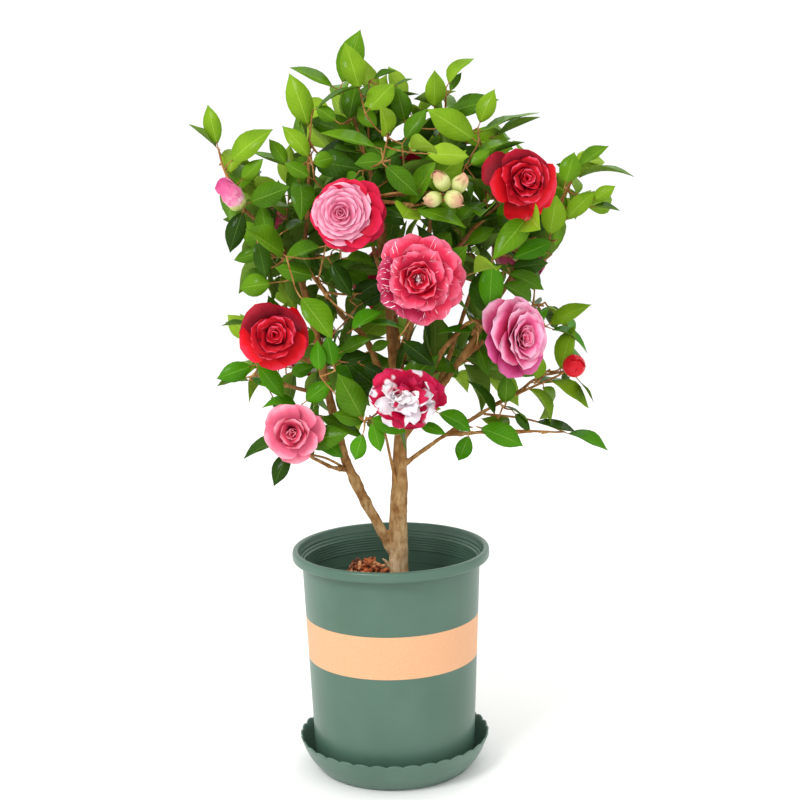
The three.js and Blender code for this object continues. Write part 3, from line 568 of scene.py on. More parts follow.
def trunkRadius(height):
    above = max(height - 250, 0)
    share = above / 200
    plain = (mix(trunk["foot"], trunk["waist"], share / 0.55) if share < 0.55
             else mix(trunk["waist"], trunk["fork"], (share - 0.55) / 0.45))
    return plain + trunk["flare"] * math.exp(-above / trunk["flareHeight"])


def limbLines():
    draw = stream(41)
    lines = []
    for name in paths:
        steps = max(10, int(sum((a - b).length for a, b in zip(paths[name], paths[name][1:])) / 6))
        points = [pathPoint(paths[name], k / steps) for k in range(steps + 1)]
        if name == "trunk":
            radii = [trunkRadius(point.z) for point in points]
        else:
            ends = next(bough[4] for bough in boughs if bough[0] == name)
            radii = [mix(*ends, k / steps) for k in range(steps + 1)]
            for scar in range(2 + steps // 5):          # leaf scars: low rings round the limb
                at = 2 + int((steps - 3) * draw())
                radii[at] *= 1.1 + 0.12 * draw()
        for k in range(1, steps):                       # the limb wanders a little on its way
            points[k] = points[k] + noise.noise_vector(points[k] / 26) * min(1.3, 0.28 * radii[k])
        lines.append((points, radii, 0))
    spur = [Vector(point) for point in trunk["spur"]]
    lines.append((spur, [mix(*trunk["spurRadii"], k / (len(spur) - 1)) for k in range(len(spur))], 0))
    return lines


def buildLimbs():
    mesh = tubesMesh("trunk_and_boughs", limbLines(), 4)
    shaper = bpy.data.objects.new("limbShaper", mesh)
    scene.collection.objects.link(shaper)
    remesh = shaper.modifiers.new("remesh", "REMESH")
    remesh.mode = "VOXEL"
    remesh.voxel_size = trunk["voxel"] * mm
    soften = shaper.modifiers.new("soften", "SMOOTH")
    soften.factor, soften.iterations = 0.5, 4
    bm = bmesh.new()
    bm.from_mesh(finishedMesh(shaper))
    bm.normal_update()
    shifts = []
    for vert in bm.verts:
        place = vert.co / mm
        depth = trunk["relief"] * mix(1, 0.4, smoothStep(place.z, 380, 560))
        long = Vector((place.x, place.y, place.z * 0.35))
        rough = noise.noise(long / 4) + 0.6 * noise.noise(long / 1.9) + 0.9 * noise.noise(place / 13)
        if place.z < 275:                               # the root flare's three low buttresses
            angle = math.atan2(place.y, place.x - 9)
            rough += 2.2 * math.exp(-(place.z - 250) / 9) * math.cos(trunk["flareLobes"] * angle + 0.6)
        shifts.append(vert.normal * depth * rough * mm)
    for vert, shift in zip(bm.verts, shifts):
        vert.co += shift
    limbs = ["trunk"] + [bough[0] for bough in boughs]
    addPiece("trunk_and_boughs", toMesh(bm, "trunk_and_boughs"), [limbBark], limbs)


buildLimbs()
print("trunk and boughs done")

# name, bough, heart, reach, shoots, named tips
masses = [
    ("foliage_top_centre", "bough_centre", (-20, 8, 835), (66, 66, 92), 9,
     [(-22, 0, 962), (24, 24, 915), (-62, 10, 905)]),
    ("foliage_top_left", "bough_top_left", (-98, -26, 815), (62, 66, 80), 7,
     [(-111, -32, 918), (-72, -50, 892), (-140, -40, 840)]),
    ("foliage_top_right", "bough_right_leader", (84, 8, 828), (70, 66, 88), 8,
     [(110, 0, 932), (140, 4, 880), (198, 30, 864), (50, 20, 905)]),
    ("foliage_left_spray", "bough_left_spray", (-192, -34, 782), (50, 60, 66), 6,
     [(-216, -22, 873), (-243, -20, 848)]),
    ("foliage_upper_left", "bough_left", (-140, -18, 700), (62, 72, 50), 6,
     [(-204, -50, 700), (-186, -20, 650)]),
    ("foliage_upper_front", "bough_upper_front", (-2, -112, 774), (90, 66, 62), 8,
     [(-70, -120, 822), (18, -120, 842)]),
    ("foliage_upper_right", "bough_upper_right", (172, -72, 768), (62, 60, 66), 6,
     [(206, -50, 800), (150, -80, 850)]),
    ("foliage_right_spray", "bough_right", (232, 6, 738), (62, 60, 58), 6,
     [(318, 8, 790), (278, 10, 810), (299, -12, 738), (216, -24, 690)]),
    ("foliage_centre_left", "bough_centre_left", (-82, -88, 662), (64, 66, 58), 6, [(-64, -150, 640)]),
    ("foliage_left_front", "bough_left_front", (-142, -76, 596), (60, 56, 46), 5,
     [(-200, -50, 612), (-120, -130, 532)]),
    ("foliage_centre_front", "bough_centre_front", (42, -112, 652), (72, 70, 56), 6,
     [(96, -150, 700), (20, -150, 600)]),
    ("foliage_right_front", "bough_right_front", (132, -84, 612), (62, 62, 56), 6,
     [(106, -130, 560), (190, -60, 640)]),
    ("foliage_right_mid", "bough_right_mid", (206, 8, 618), (58, 66, 52), 6, [(259, 0, 622), (200, 50, 660)]),
    ("foliage_low_left", "bough_low_left", (-122, -66, 458), (58, 52, 42), 5,
     [(-186, -62, 438), (-142, -92, 418), (-60, -104, 462)]),
    ("foliage_left_outer", "bough_left_outer", (-176, 4, 540), (46, 60, 44), 5,
     [(-218, -22, 530), (-196, -10, 572)]),
    ("foliage_lower_front", "bough_lower_front", (6, -82, 528), (68, 58, 44), 5,
     [(-30, -120, 470), (64, -110, 500), (-44, -110, 560)]),
    ("foliage_low_right", "bough_low_right", (208, -4, 532), (54, 60, 44), 6,
     [(266, 4, 566), (262, 16, 500)]),
    ("foliage_lowest_right", "bough_lowest_right", (172, -38, 452), (66, 50, 30), 5,
     [(286, 0, 428), (90, -46, 422), (184, -52, 438)]),
    ("foliage_back_top", "bough_back_top", (4, 118, 802), (92, 72, 80), 8,
     [(10, 130, 900), (-70, 110, 868), (90, 120, 860)]),
    ("foliage_back_left", "bough_inner_left", (-122, 92, 690), (82, 80, 84), 8,
     [(-210, 80, 720), (-150, 90, 790)]),
    ("foliage_back_right", "bough_back_right", (138, 104, 692), (84, 80, 84), 8,
     [(226, 90, 720), (150, 110, 792)]),
    ("foliage_back", "bough_back", (10, 158, 650), (88, 72, 74), 7, [(10, 232, 690)]),
    ("foliage_back_low_left", "bough_back_low_left", (-92, 112, 540), (74, 70, 50), 6, [(-160, 120, 510)]),
    ("foliage_back_low_right", "bough_back_low_right", (112, 112, 542), (74, 70, 50), 6, [(186, 110, 512)]),
]
# kind of bloom, its mass, middle, the way that it faces, radius
blooms = [
    ("formal", "foliage_upper_front", (-41, -150, 742), (-0.1, -1, 0.05), 45),
    ("redRose", "foliage_upper_right", (166, -122, 776), (0.14, -1, 0.12), 40),
    ("redRose", "foliage_left_front", (-137, -122, 596), (-0.05, -1, 0.15), 40),
    ("coral", "foliage_centre_front", (42, -196, 668), (0.02, -1, 0.06), 54),
    ("mauve", "foliage_right_front", (160, -124, 588), (0.62, -0.78, 0.05), 50),
    ("rosePink", "foliage_low_left", (-118, -106, 474), (-0.1, -1, 0.1), 40),
    ("striped", "foliage_lower_front", (22, -142, 517), (0.05, -1, 0.1), 45),
    ("formal", "foliage_back_top", (20, 190, 786), (0.1, 1, 0.1), 44),
    ("rosePink", "foliage_back_left", (-150, 150, 700), (-0.6, 0.8, 0.1), 42),
    ("mauve", "foliage_back_right", (190, 150, 672), (0.7, 0.7, 0.1), 46),
    ("coral", "foliage_back", (0, 218, 630), (0, 1, 0.05), 50),
    ("striped", "foliage_back_low_left", (-110, 164, 540), (-0.3, 0.95, 0), 40),
]
# kind of bud, its mass, middle, the way that it points, radius, length
buds = [
    ("pink", "foliage_left_spray", (-187, -56, 764), (-0.5, -0.3, 0.7), 13, 44),
    ("red", "foliage_low_right", (240, -26, 538), (0.35, -0.8, 0.45), 15, 31),
    ("cream", "foliage_upper_front", (69, -160, 779), (-0.45, -0.45, 0.75), 10, 27),
    ("cream", "foliage_upper_front", (91, -157, 775), (0.5, -0.5, 0.65), 10, 26),
    ("cream", "foliage_upper_front", (84, -168, 757), (0.5, -0.8, -0.25), 10.5, 27),
    ("cream", "foliage_upper_front", (58, -164, 757), (-0.65, -0.65, -0.2), 9.5, 25),
]
growth = {
    "leaf": 64, "leafSpread": 20, "trueLeaf": 0.92,     # the solids' leaves are a little larger than life
    "widthShare": 0.52, "leafPitch": 15, "bareShare": 0.2, "sag": 0.1, "tries": 4,
    "shootRadius": 1.9, "tipRadius": 0.95, "petiole": 7, "petioleRadius": 0.75,
    "opening": (0.85, 1.35), "lift": (0.25, -0.35), "slack": 9, "sparse": ("foliage_lowest_right",),
    # how far apart the middles of leaves stand, by height; fine twigs need more room by a factor
    "spacing": [(400, 27), (470, 31), (640, 33), (690, 26), (730, 21), (790, 22), (840, 28), (960, 32)],
    "faceUp": (0.2, 1.1), "faceOut": (0.3, 1.3), "axisBack": 48, "sideways": 0.5,
    "room": 1.4, "roomTries": 420, "roomReach": 1.12, "twigSpan": (16, 88), "twigLeafPitch": 15,
    "middle": (20, 10, 690), "spread": (250, 215, 280),     # the crown as a whole, for the leaves' ages
    # where each blade is tested: shares along it and to its sides
    "blade": [(0.5, 0), (1, 0), (0.5, 1), (0.5, -1), (0.78, 0.7), (0.78, -0.7), (0.25, 0.8), (0.25, -0.8),
              (0.25, 0), (0.78, 0), (0.9, 0), (0.4, 0.5), (0.4, -0.5), (0.65, 0.45), (0.65, -0.45)],
    "eye": (16, -1950, 830), "outlineSlack": 5,
    "low": (-245, -226, 412), "high": (319, 242, 963),
    # room round a bloom: behind, before and beside it; round a bud; before and round a single leaf
    "bloomRoom": (-0.55, 3.5, 1.1), "budRoom": (0.66, 0.62, 130), "singleRoom": (-120, 4, 0.36),
    "age": (0.34, 0.56, 0.1),       # how much height, the crown's outside and its foot lighten a leaf: partly younger growth, partly painted light, the top and outside lit and the inside in shade
    "stalk": (1.9, 1.5), "fineTwig": (1.3, 0.9), "fillTwig": (1.25, 0.85), "joinTip": 24, "lowLeaves": 640,
}
# how far the crown reaches to its left and right at each height, as seen square from the front, as
# (height, left, right)
outline = [(380, -150, 26), (409, -150, 92), (428, -191, 287), (450, -182, 272), (471, -160, 232),
           (492, -166, 270), (514, -222, 262), (535, -222, 256), (555, -199, 252), (576, -194, 264),
           (597, -212, 245), (617, -186, 262), (639, -188, 206), (659, -183, 196), (680, -193, 208),
           (700, -205, 226), (720, -204, 244), (740, -203, 302), (760, -208, 296), (780, -208, 262),
           (800, -213, 315), (820, -226, 286), (841, -246, 190), (861, -226, 200), (880, -136, 148),
           (900, -122, 112), (920, -116, 106), (939, -56, 110), (963, -35, -10)]
# the larger openings where the sky shows through the crown: across, height, radius
openings = [(-174, 873, 34), (45, 935, 33), (207, 427, 28), (216, 817, 21), (-21, 405, 21), (67, 413, 20),
            (-112, 395, 20), (247, 426, 17), (-131, 864, 15), (234, 477, 15), (98, 497, 15), (-15, 377, 13),
            (181, 487, 13), (134, 428, 12), (3, 924, 12), (251, 816, 12), (109, 889, 11), (112, 482, 11),
            (87, 934, 11), (-146, 791, 11), (-68, 920, 10), (-21, 640, 12), (40, 891, 10), (-185, 702, 12),
            (294, 777, 15), (275, 776, 12), (261, 771, 12), (112, 891, 12), (215, 626, 15), (102, 883, 9),
            (-111, 535, 10), (-174, 623, 10), (44, 880, 9), (93, 604, 9), (210, 538, 9), (80, 493, 9),
            (-157, 421, 9), (-83, 889, 9), (174, 853, 9), (162, 847, 9), (-129, 831, 9), (-128, 779, 9),
            (247, 768, 8), (140, 747, 8), (-94, 649, 9), (124, 521, 8), (-193, 564, 8), (-119, 857, 9),
            (-226, 800, 17), (-161, 506, 10), (-80, 416, 9), (-103, 516, 9), (-199, 823, 10), (112, 850, 12),
            (214, 792, 12), (-13, 633, 9), (-20, 937, 9),
            (-196, 694, 9), (233, 624, 10), (173, 514, 9), (183, 856, 8), (10, 825, 8), (77, 551, 8),
            (40, 433, 9), (-174, 672, 9), (-72, 410, 9), (81, 600, 8), (196, 448, 11), (219, 574, 8),
            (248, 630, 12), (185, 442, 9), (93, 877, 9), (252, 566, 9), (148, 861, 8), (-20, 939, 9),
            (261, 551, 11), (221, 490, 11), (-77, 885, 8), (-183, 671, 9), (-23, 433, 9), (45, 442, 9),
            (-200, 818, 8)]
# leaves that stand out singly, by mass: foot, tip, tint from dark to light (partly painted light; 8 is the
# painted-shade copy), width by length as it looks
singleLeaves = {
    "foliage_top_centre": [
        ((-25, -11, 883), (-43, -14, 947), 3, 0.46), ((-51, 15, 893), (-24, 19, 963), 2, 0.46),
        ((-54, -9, 890), (-111, -20, 919), 2, 0.34), ((-20, -28, 859), (16, -14, 897), 3, 0.62),
        ((-15, 10, 900), (19, 14, 912), 1, 0.26), ((10, 7, 890), (40, 4, 902), 1, 0.28),
        ((-43, 7, 846), (-31, 11, 901), 1, 0.46), ((-51, -29, 847), (-81, -29, 869), 2, 0.5),
        ((-3, -18, 837), (-30, -4, 869), 2, 0.5), ((25, -35, 821), (55, -35, 864), 1, 0.46),
    ],
    "foliage_top_left": [
        ((-89, -19, 839), (-113, -19, 911), 3, 0.42), ((-85, -25, 864), (-26, -36, 901), 1, 0.26),
        ((-86, -56, 802), (-120, -52, 849), 3, 0.4), ((-115, -35, 794), (-139, -38, 830), 2, 0.42),
        ((-84, -57, 780), (-120, -53, 801), 2, 0.46), ((-90, -84, 800), (-57, -80, 807), 2, 0.6),
    ],
    "foliage_top_right": [
        ((31, 5, 843), (20, -6, 891), 1, 0.52), ((81, -4, 889), (110, 10, 933), 3, 0.3),
        ((66, -13, 859), (67, -24, 910), 3, 0.52), ((83, 6, 880), (102, 10, 907), 1, 0.36),
        ((120, -17, 839), (140, -20, 886), 3, 0.48), ((119, -53, 821), (57, -49, 864), 3, 0.46),
        ((117, -8, 832), (194, -18, 862), 2, 0.15), ((138, 9, 826), (200, 9, 852), 1, 0.08),
        ((111, -44, 807), (170, -30, 828), 2, 0.26), ((129, -17, 803), (177, -28, 822), 1, 0.22),
    ],
    "foliage_left_spray": [
        ((-192, -43, 800), (-138, -54, 845), 3, 0.5), ((-204, -23, 819), (-216, -23, 874), 3, 0.4),
        ((-202, -24, 818), (-241, -10, 851), 1, 0.17), ((-179, -45, 777), (-147, -56, 806), 2, 0.42),
        ((-170, -50, 752), (-112, -64, 772), 1, 0.5), ((-172, -50, 748), (-192, -60, 694), 8, 0.42),
    ],
    "foliage_upper_left": [
        ((-156, -81, 714), (-144, -84, 661), 0, 0.4), ((-147, -47, 694), (-188, -43, 682), 1, 0.4),
    ],
    "foliage_upper_front": [
        ((-1, -61, 816), (-74, -72, 839), 2, 0.32), ((10, -121, 803), (-32, -124, 800), 1, 0.52),
        ((0, -88, 800), (25, -83, 822), 1, 0.36), ((0, -133, 801), (44, -144, 760), 1, 0.42),
    ],
    "foliage_upper_right": [
        ((103, -66, 791), (132, -62, 812), 2, 0.44),
    ],
    "foliage_right_spray": [
        ((228, -13, 762), (241, -16, 806), 2, 0.6), ((243, 3, 783), (285, 7, 816), 2, 0.34),
        ((242, 9, 774), (313, -2, 793), 2, 0.09), ((208, -23, 698), (218, -23, 754), 3, 0.56),
        ((226, -14, 718), (269, 0, 761), 3, 0.4), ((261, 5, 742), (293, -6, 763), 3, 0.46),
        ((261, 0, 739), (301, 4, 732), 1, 0.1), ((215, -49, 700), (160, -52, 677), 7, 0.4),
    ],
    "foliage_centre_left": [
        ((-45, -30, 628), (-4, -36, 653), 8, 0.5), ((-134, -70, 656), (-181, -66, 649), 2, 0.6),
        ((-81, -85, 662), (-132, -96, 677), 1, 0.48), ((-70, -99, 702), (-125, -99, 688), 1, 0.32),
        ((-30, -91, 607), (34, -91, 600), 7, 0.22), ((-46, -108, 596), (-5, -94, 624), 7, 0.34),
        ((-68, -91, 686), (-39, -102, 640), 8, 0.36), ((-45, -105, 694), (-6, -105, 702), 2, 0.28),
        ((-52, -108, 687), (-9, -94, 684), 2, 0.3), ((-36, -20, 619), (0, -26, 638), 8, 0.5),
        ((-17, -20, 639), (-44, -26, 665), 1, 0.55), ((-83, -10, 570), (-75, -16, 604), 8, 0.55),
    ],
    "foliage_left_front": [
        ((-171, -44, 602), (-208, -30, 599), 1, 0.26), ((-164, -76, 559), (-129, -72, 511), 7, 0.38),
        ((-102, -95, 573), (-91, -80, 598), 7, 0.52), ((-129, -20, 533), (-94, -26, 543), 7, 0.5),
    ],
    "foliage_centre_front": [
        ((97, -87, 696), (135, -83, 719), 2, 0.4), ((16, -91, 586), (60, -91, 551), 8, 0.42),
    ],
    "foliage_right_front": [
        ((131, -103, 684), (126, -114, 618), 7, 0.46), ((150, -29, 660), (202, -29, 638), 1, 0.36),
        ((142, -48, 648), (189, -34, 624), 1, 0.42), ((115, -68, 589), (63, -54, 589), 7, 0.22),
        ((114, -51, 571), (128, -62, 533), 1, 0.42),
    ],
    "foliage_right_mid": [
        ((156, -4, 662), (208, -10, 668), 0, 0.45), ((213, -10, 679), (174, -16, 691), 7, 0.5),
        ((203, -17, 588), (258, -28, 619), 3, 0.36), ((206, -18, 587), (263, -14, 566), 7, 0.09),
    ],
    "foliage_low_left": [
        ((-106, -85, 505), (-69, -88, 533), 7, 0.52), ((-107, -63, 499), (-158, -59, 504), 7, 0.26),
        ((-112, -76, 455), (-50, -100, 470), 1, 0.46), ((-122, -76, 450), (-144, -96, 405), 8, 0.4),
        ((-128, -70, 462), (-186, -64, 436), 0, 0.36),
    ],
    "foliage_left_outer": [
        ((-165, -41, 550), (-214, -52, 534), 7, 0.48),
    ],
    "foliage_lower_front": [
        ((59, -61, 489), (109, -57, 465), 7, 0.38), ((34, -85, 478), (72, -96, 467), 7, 0.36),
        ((-81, -111, 544), (-83, -122, 587), 7, 0.46), ((-63, -111, 550), (-72, -111, 593), 7, 0.48),
        ((-28, -105, 485), (-59, -116, 547), 1, 0.5), ((-26, -110, 492), (23, -106, 471), 7, 0.44),
        ((-20, -105, 491), (-9, -108, 447), 7, 0.44), ((-29, -97, 474), (-43, -93, 432), 7, 0.48),
        ((-23, -91, 481), (-68, -102, 495), 1, 0.44), ((-61, -91, 568), (-18, -102, 588), 1, 0.36),
        ((-64, -98, 555), (-20, -94, 568), 8, 0.42), ((-34, -101, 558), (-2, -104, 540), 8, 0.42),
        ((-25, -82, 568), (4, -77, 580), 1, 0.42),
    ],
    "foliage_low_right": [
        ((222, -12, 525), (238, -14, 588), 3, 0.36), ((187, -38, 517), (198, -33, 551), 3, 0.48),
        ((179, -19, 513), (218, -19, 466), 3, 0.28), ((207, -20, 520), (261, -6, 479), 3, 0.22),
        ((243, -5, 521), (268, -16, 489), 7, 0.1),
    ],
    "foliage_lowest_right": [
        ((150, -23, 484), (154, -34, 527), 1, 0.54), ((144, -30, 491), (184, -26, 470), 0, 0.2),
        ((159, -25, 482), (183, -28, 454), 0, 0.36), ((105, -45, 459), (89, -45, 419), 7, 0.5),
        ((112, -45, 465), (174, -47, 441), 7, 0.44), ((228, -6, 448), (287, -8, 427), 7, 0.22),
        ((186, -8, 464), (243, -22, 452), 0, 0.26), ((141, -30, 472), (106, -36, 525), 0, 0.32),
    ],
}
singleMiddles = np.array([Vector(foot).lerp(Vector(tip), 0.55) for leaves in singleLeaves.values()
                          for foot, tip, tint, wide in leaves])
singleReach = np.array([growth["singleRoom"][2] * (Vector(tip) - Vector(foot)).length
                        for leaves in singleLeaves.values() for foot, tip, tint, wide in leaves])
hearts = {mass[0]: Vector(mass[2]) for mass in masses}
weights = {mass[0]: (mass[3][0] * mass[3][1] + mass[3][2] ** 2) / 2 for mass in masses}
grown = {"leaves": [], "twigs": [], "middles": np.zeros((0, 3)), "nodes": np.zeros((0, 3))}
faceDraw = stream(31)


def inCrown(point, margin=0.0):
    return all(low + margin <= value <= high - margin
               for value, low, high in zip(point, growth["low"], growth["high"]))


# a point seen from the front, moved along the line of sight into the plane of the trunk
def inOutline(point):
    eye = growth["eye"]
    nearer = -eye[1] / (point.y - eye[1])
    across, height = eye[0] + (point.x - eye[0]) * nearer, eye[2] + (point.z - eye[2]) * nearer
    slack = growth["outlineSlack"]
    left, right = (np.interp(height, [row[0] for row in outline], [row[side] for row in outline])
                   for side in (1, 2))
    if not left - slack < across < right + slack:
        return False
    return all(math.hypot(across - x, height - z) > radius - 2 for x, z, radius in openings)


# each mass keeps to the space bounded by planes between its heart and the others' hearts
def inOwnSpace(name, point, slack):
    heart = hearts[name]
    own = (point - heart).length_squared - weights[name]
    for other, place in hearts.items():
        if other == name:
            continue
        away = (point - place).length_squared - weights[other]
        if (away - own) / (2 * (heart - place).length) < -slack:
            return False
    return True


# no other leaf stands before one of the single leaves
def clearOfSingles(point):
    before, behind, share = growth["singleRoom"]
    offsets = np.array(point) - singleMiddles
    return not ((np.hypot(offsets[:, 0], offsets[:, 2]) < singleReach)
                & (offsets[:, 1] > before) & (offsets[:, 1] < behind)).any()


# nothing grows through a bloom or bud, or before it
def clearOfBlooms(point):
    behind, before, beside = growth["bloomRoom"]
    nearBud, overBud, beforeBud = growth["budRoom"]
    for kind, mass, at, face, radius in blooms:
        axis = Vector(face).normalized()
        offset = point - Vector(at)
        ahead = offset.dot(axis)
        if (behind * radius < ahead < before * radius
                and (offset - ahead * axis).length < beside * radius):
            return False
    for kind, mass, at, face, radius, length in buds:
        offset = point - Vector(at)
        if offset.length < nearBud * length or (math.hypot(offset.x, offset.z) < overBud * length
                                                and -beforeBud < offset.y < 0):
            return False
    return True


def growShoot(start, middle, tip, endLeaf):
    span = (tip - start).length
    foot = tip.lerp(start, min(endLeaf / span, 0.6))
    if middle is None:
        middle = start.lerp(foot, 0.5) - up * growth["sag"] * span
    shoot = {"start": start, "middle": middle, "foot": foot, "tip": tip}
    line = [pointOn(shoot, k / 8) for k in range(9)]
    shoot["length"] = sum((a - b).length for a, b in zip(line, line[1:]))
    return shoot


# a shoot that would end at a single leaf's tip ends at its foot
def shootTowards(name, start, middle, tip, endLeaf):
    for foot, end, *rest in singleLeaves.get(name, ()):
        if (Vector(end) - tip).length < growth["joinTip"]:
            return growShoot(start, middle, Vector(foot), 0.01)
    return growShoot(start, middle, tip, endLeaf)


def pointOn(shoot, share):
    return shoot["start"].lerp(shoot["middle"], share).lerp(shoot["middle"].lerp(shoot["foot"], share), share)


def directionOn(shoot, share):
    return ((shoot["middle"] - shoot["start"]) * (1 - share)
            + (shoot["foot"] - shoot["middle"]) * share).normalized()


# the upper side of a leaf looks up and outwards, rather more to the plant's front and back than its sides
def upperSide(foot, direction, draw):
    outward = Vector((growth["sideways"] * (foot.x - 15), foot.y - growth["axisBack"], 0)).normalized()
    upper = up * mix(*growth["faceUp"], draw()) + outward * mix(*growth["faceOut"], draw())
    return upper + Vector((draw() - 0.5, 0.6 * (draw() - 0.5), 0))


# a leaf leaves its shoot at an angle; each of its tries stands further round the shoot
def sideLeaf(shoot, share, turn, draw):
    opening, lift = mix(*growth["opening"], draw()), mix(*growth["lift"], draw())
    length = growth["leaf"] + growth["leafSpread"] * (draw() - 0.25)
    width = length * growth["widthShare"] * (0.9 + 0.2 * draw())
    foot, along = pointOn(shoot, share), directionOn(shoot, share)
    level = Vector((-along.y, along.x, 0))
    level = level.normalized() if level.length > 0.01 else Vector((1, 0, 0))
    tries = []
    for attempt in range(growth["tries"]):
        radial = Matrix.Rotation(turn + 1.9 * attempt, 3, along) @ level
        direction = (along * math.cos(opening) + radial * math.sin(opening) + up * lift).normalized()
        tries.append({"foot": foot, "direction": direction, "length": length, "width": width, "share": share})
    return tries


def sideLeaves(shoot, seed):
    draw = stream(seed)
    count = max(round(shoot["length"] / growth["leafPitch"]), 1)
    firstTurn = 2 * math.pi * draw()
    return [sideLeaf(shoot, mix(growth["bareShare"], 0.96, (k + 0.5) / count), firstTurn + 2.4 * k, draw)
            for k in range(count)]


def massSeed(mass, first):
    return first + 37 * masses.index(mass)


def ruledTips(mass, order, draw):
    rise = mix(-0.45, 0.92, (order * 0.618 + 0.3) % 1)
    flat = math.sqrt(1 - rise * rise)
    fill = 0.86 + 0.14 * draw()
    seed = massSeed(mass, 100)
    tips = []
    for attempt in range(growth["tries"]):
        turn = goldenAngle * order + seed + 1.3 * attempt
        reach = Vector((flat * math.cos(turn), flat * math.sin(turn), rise)) * fill
        tips.append(hearts[mass[0]] + Vector([a * b for a, b in zip(reach, mass[3])]))
    return tips


def spacing(height):
    return float(np.interp(height, *zip(*growth["spacing"])))


def nearestLeaf(point):
    if len(grown["middles"]) == 0:
        return 1000
    return math.sqrt(((grown["middles"] - np.array(point)) ** 2).sum(1).min())


# keeps a leaf if it fits its mass's space, clear of blooms and of leaves that already stand there
def keepLeaf(name, leaf, young, given=False):
    size = growth["trueLeaf"]
    foot = leaf["foot"] + leaf["direction"] * growth["petiole"]
    length, width = leaf["length"] * size, leaf["width"] * size
    upper = leaf.get("upper") or upperSide(leaf["foot"], leaf["direction"], faceDraw)
    spread = upper.cross(leaf["direction"]).normalized() * width * 0.45
    middle = foot + leaf["direction"] * length * 0.5
    for along, across in growth["blade"]:
        point = foot + leaf["direction"] * length * along + spread * across
        if not given and not (inCrown(point, 0.5) and inOutline(point) and clearOfBlooms(point)
                              and clearOfSingles(point) and inOwnSpace(name, point, growth["slack"])):
            return False
    if not given and nearestLeaf(middle) < spacing(middle.z):
        return False
    grown["middles"] = np.vstack([grown["middles"], np.array(middle)])
    offset = middle - Vector(growth["middle"])
    outer = Vector([a / b for a, b in zip(offset, growth["spread"])]).length
    # the leaf's lightness: partly its age, partly painted light, lighter high up and on the crown's outside,
    # darker inside where shade falls
    high, edge, low = growth["age"]
    age = high * smoothStep(middle.z, 450, 900) + edge * smoothStep(outer, 0.5, 1.08) + young
    age += low * (1 - smoothStep(middle.z, 480, 680))
    grown["leaves"].append({"mass": name, "foot": foot, "direction": leaf["direction"], "upper": upper,
                            "length": length, "width": width, "young": age, "roll": leaf.get("roll", 1.8),
                            "tint": leaf.get("tint")})
    petiole = [leaf["foot"], leaf["foot"].lerp(foot, 0.5) - up * 0.4, foot + leaf["direction"] * 3]
    grown["twigs"].append((petiole, [growth["petioleRadius"] * share for share in (1.2, 1, 0.7)], 1))
    return True


def keepTwig(shoot, thick, thin, number=0):
    steps = 3 + int(shoot["length"] / 14)
    points = [pointOn(shoot, k / steps) for k in range(steps + 1)]
    for k in range(1, steps):
        points[k] = points[k] + noise.noise_vector(points[k] / 17) * min(1.4, 0.022 * shoot["length"])
    green = max(steps - 2, 1) if thin < 1.2 else steps      # the last of the shoot is green wood
    radii = [mix(thick, thin, k / steps) for k in range(steps + 1)]
    grown["twigs"].append((points[:green + 1], radii[:green + 1], number))
    if green < steps:
        grown["twigs"].append((points[green:], radii[green:], 1))


# fine twigs grow from the nearest shoot to wherever the mass still has room for leaves
def fillRoom(mass, nodes):
    name, heart = mass[0], hearts[mass[0]]
    draw = stream(massSeed(mass, 1700))
    for attempt in range(0 if name in growth["sparse"] else growth["roomTries"]):
        way = Vector((draw() - 0.5, draw() - 0.5, draw() - 0.5)).normalized() * draw() ** 0.4
        point = heart + Vector([a * b for a, b in zip(way, mass[3])]) * growth["roomReach"]
        wish = Vector((draw() - 0.5, draw() - 0.5, draw() - 0.35))
        gaps = ((nodes - np.array(point)) ** 2).sum(1)
        base = Vector(nodes[gaps.argmin()])
        span = (point - base).length
        room = growth["room"] * spacing(point.z)
        if not growth["twigSpan"][0] < span < growth["twigSpan"][1]:
            continue
        direction = ((point - base) / span + 0.9 * wish).normalized()
        length = growth["leaf"] * (0.86 + 0.36 * draw())
        if nearestLeaf(point + direction * length * 0.5) < room or not clearOfBlooms(point):
            continue
        leaf = {"foot": point, "direction": direction, "length": length,
                "width": length * growth["widthShare"]}
        age = 0.5 * (draw() - 0.5)
        if not keepLeaf(name, leaf, age + 0.08):
            continue
        twig = growShoot(base, None, point, 0)
        keepTwig(twig, *growth["fillTwig"])
        nodes = np.vstack([nodes, [pointOn(twig, share) for share in (0.4, 0.7, 1)]])
        turn, count = 6.3 * draw(), 1 + int(span / growth["twigLeafPitch"])
        for k in range(count):
            for option in sideLeaf(twig, mix(0.3, 0.96, (k + 0.5) / count), turn + 2.4 * k, draw):
                if keepLeaf(name, option, age):
                    break


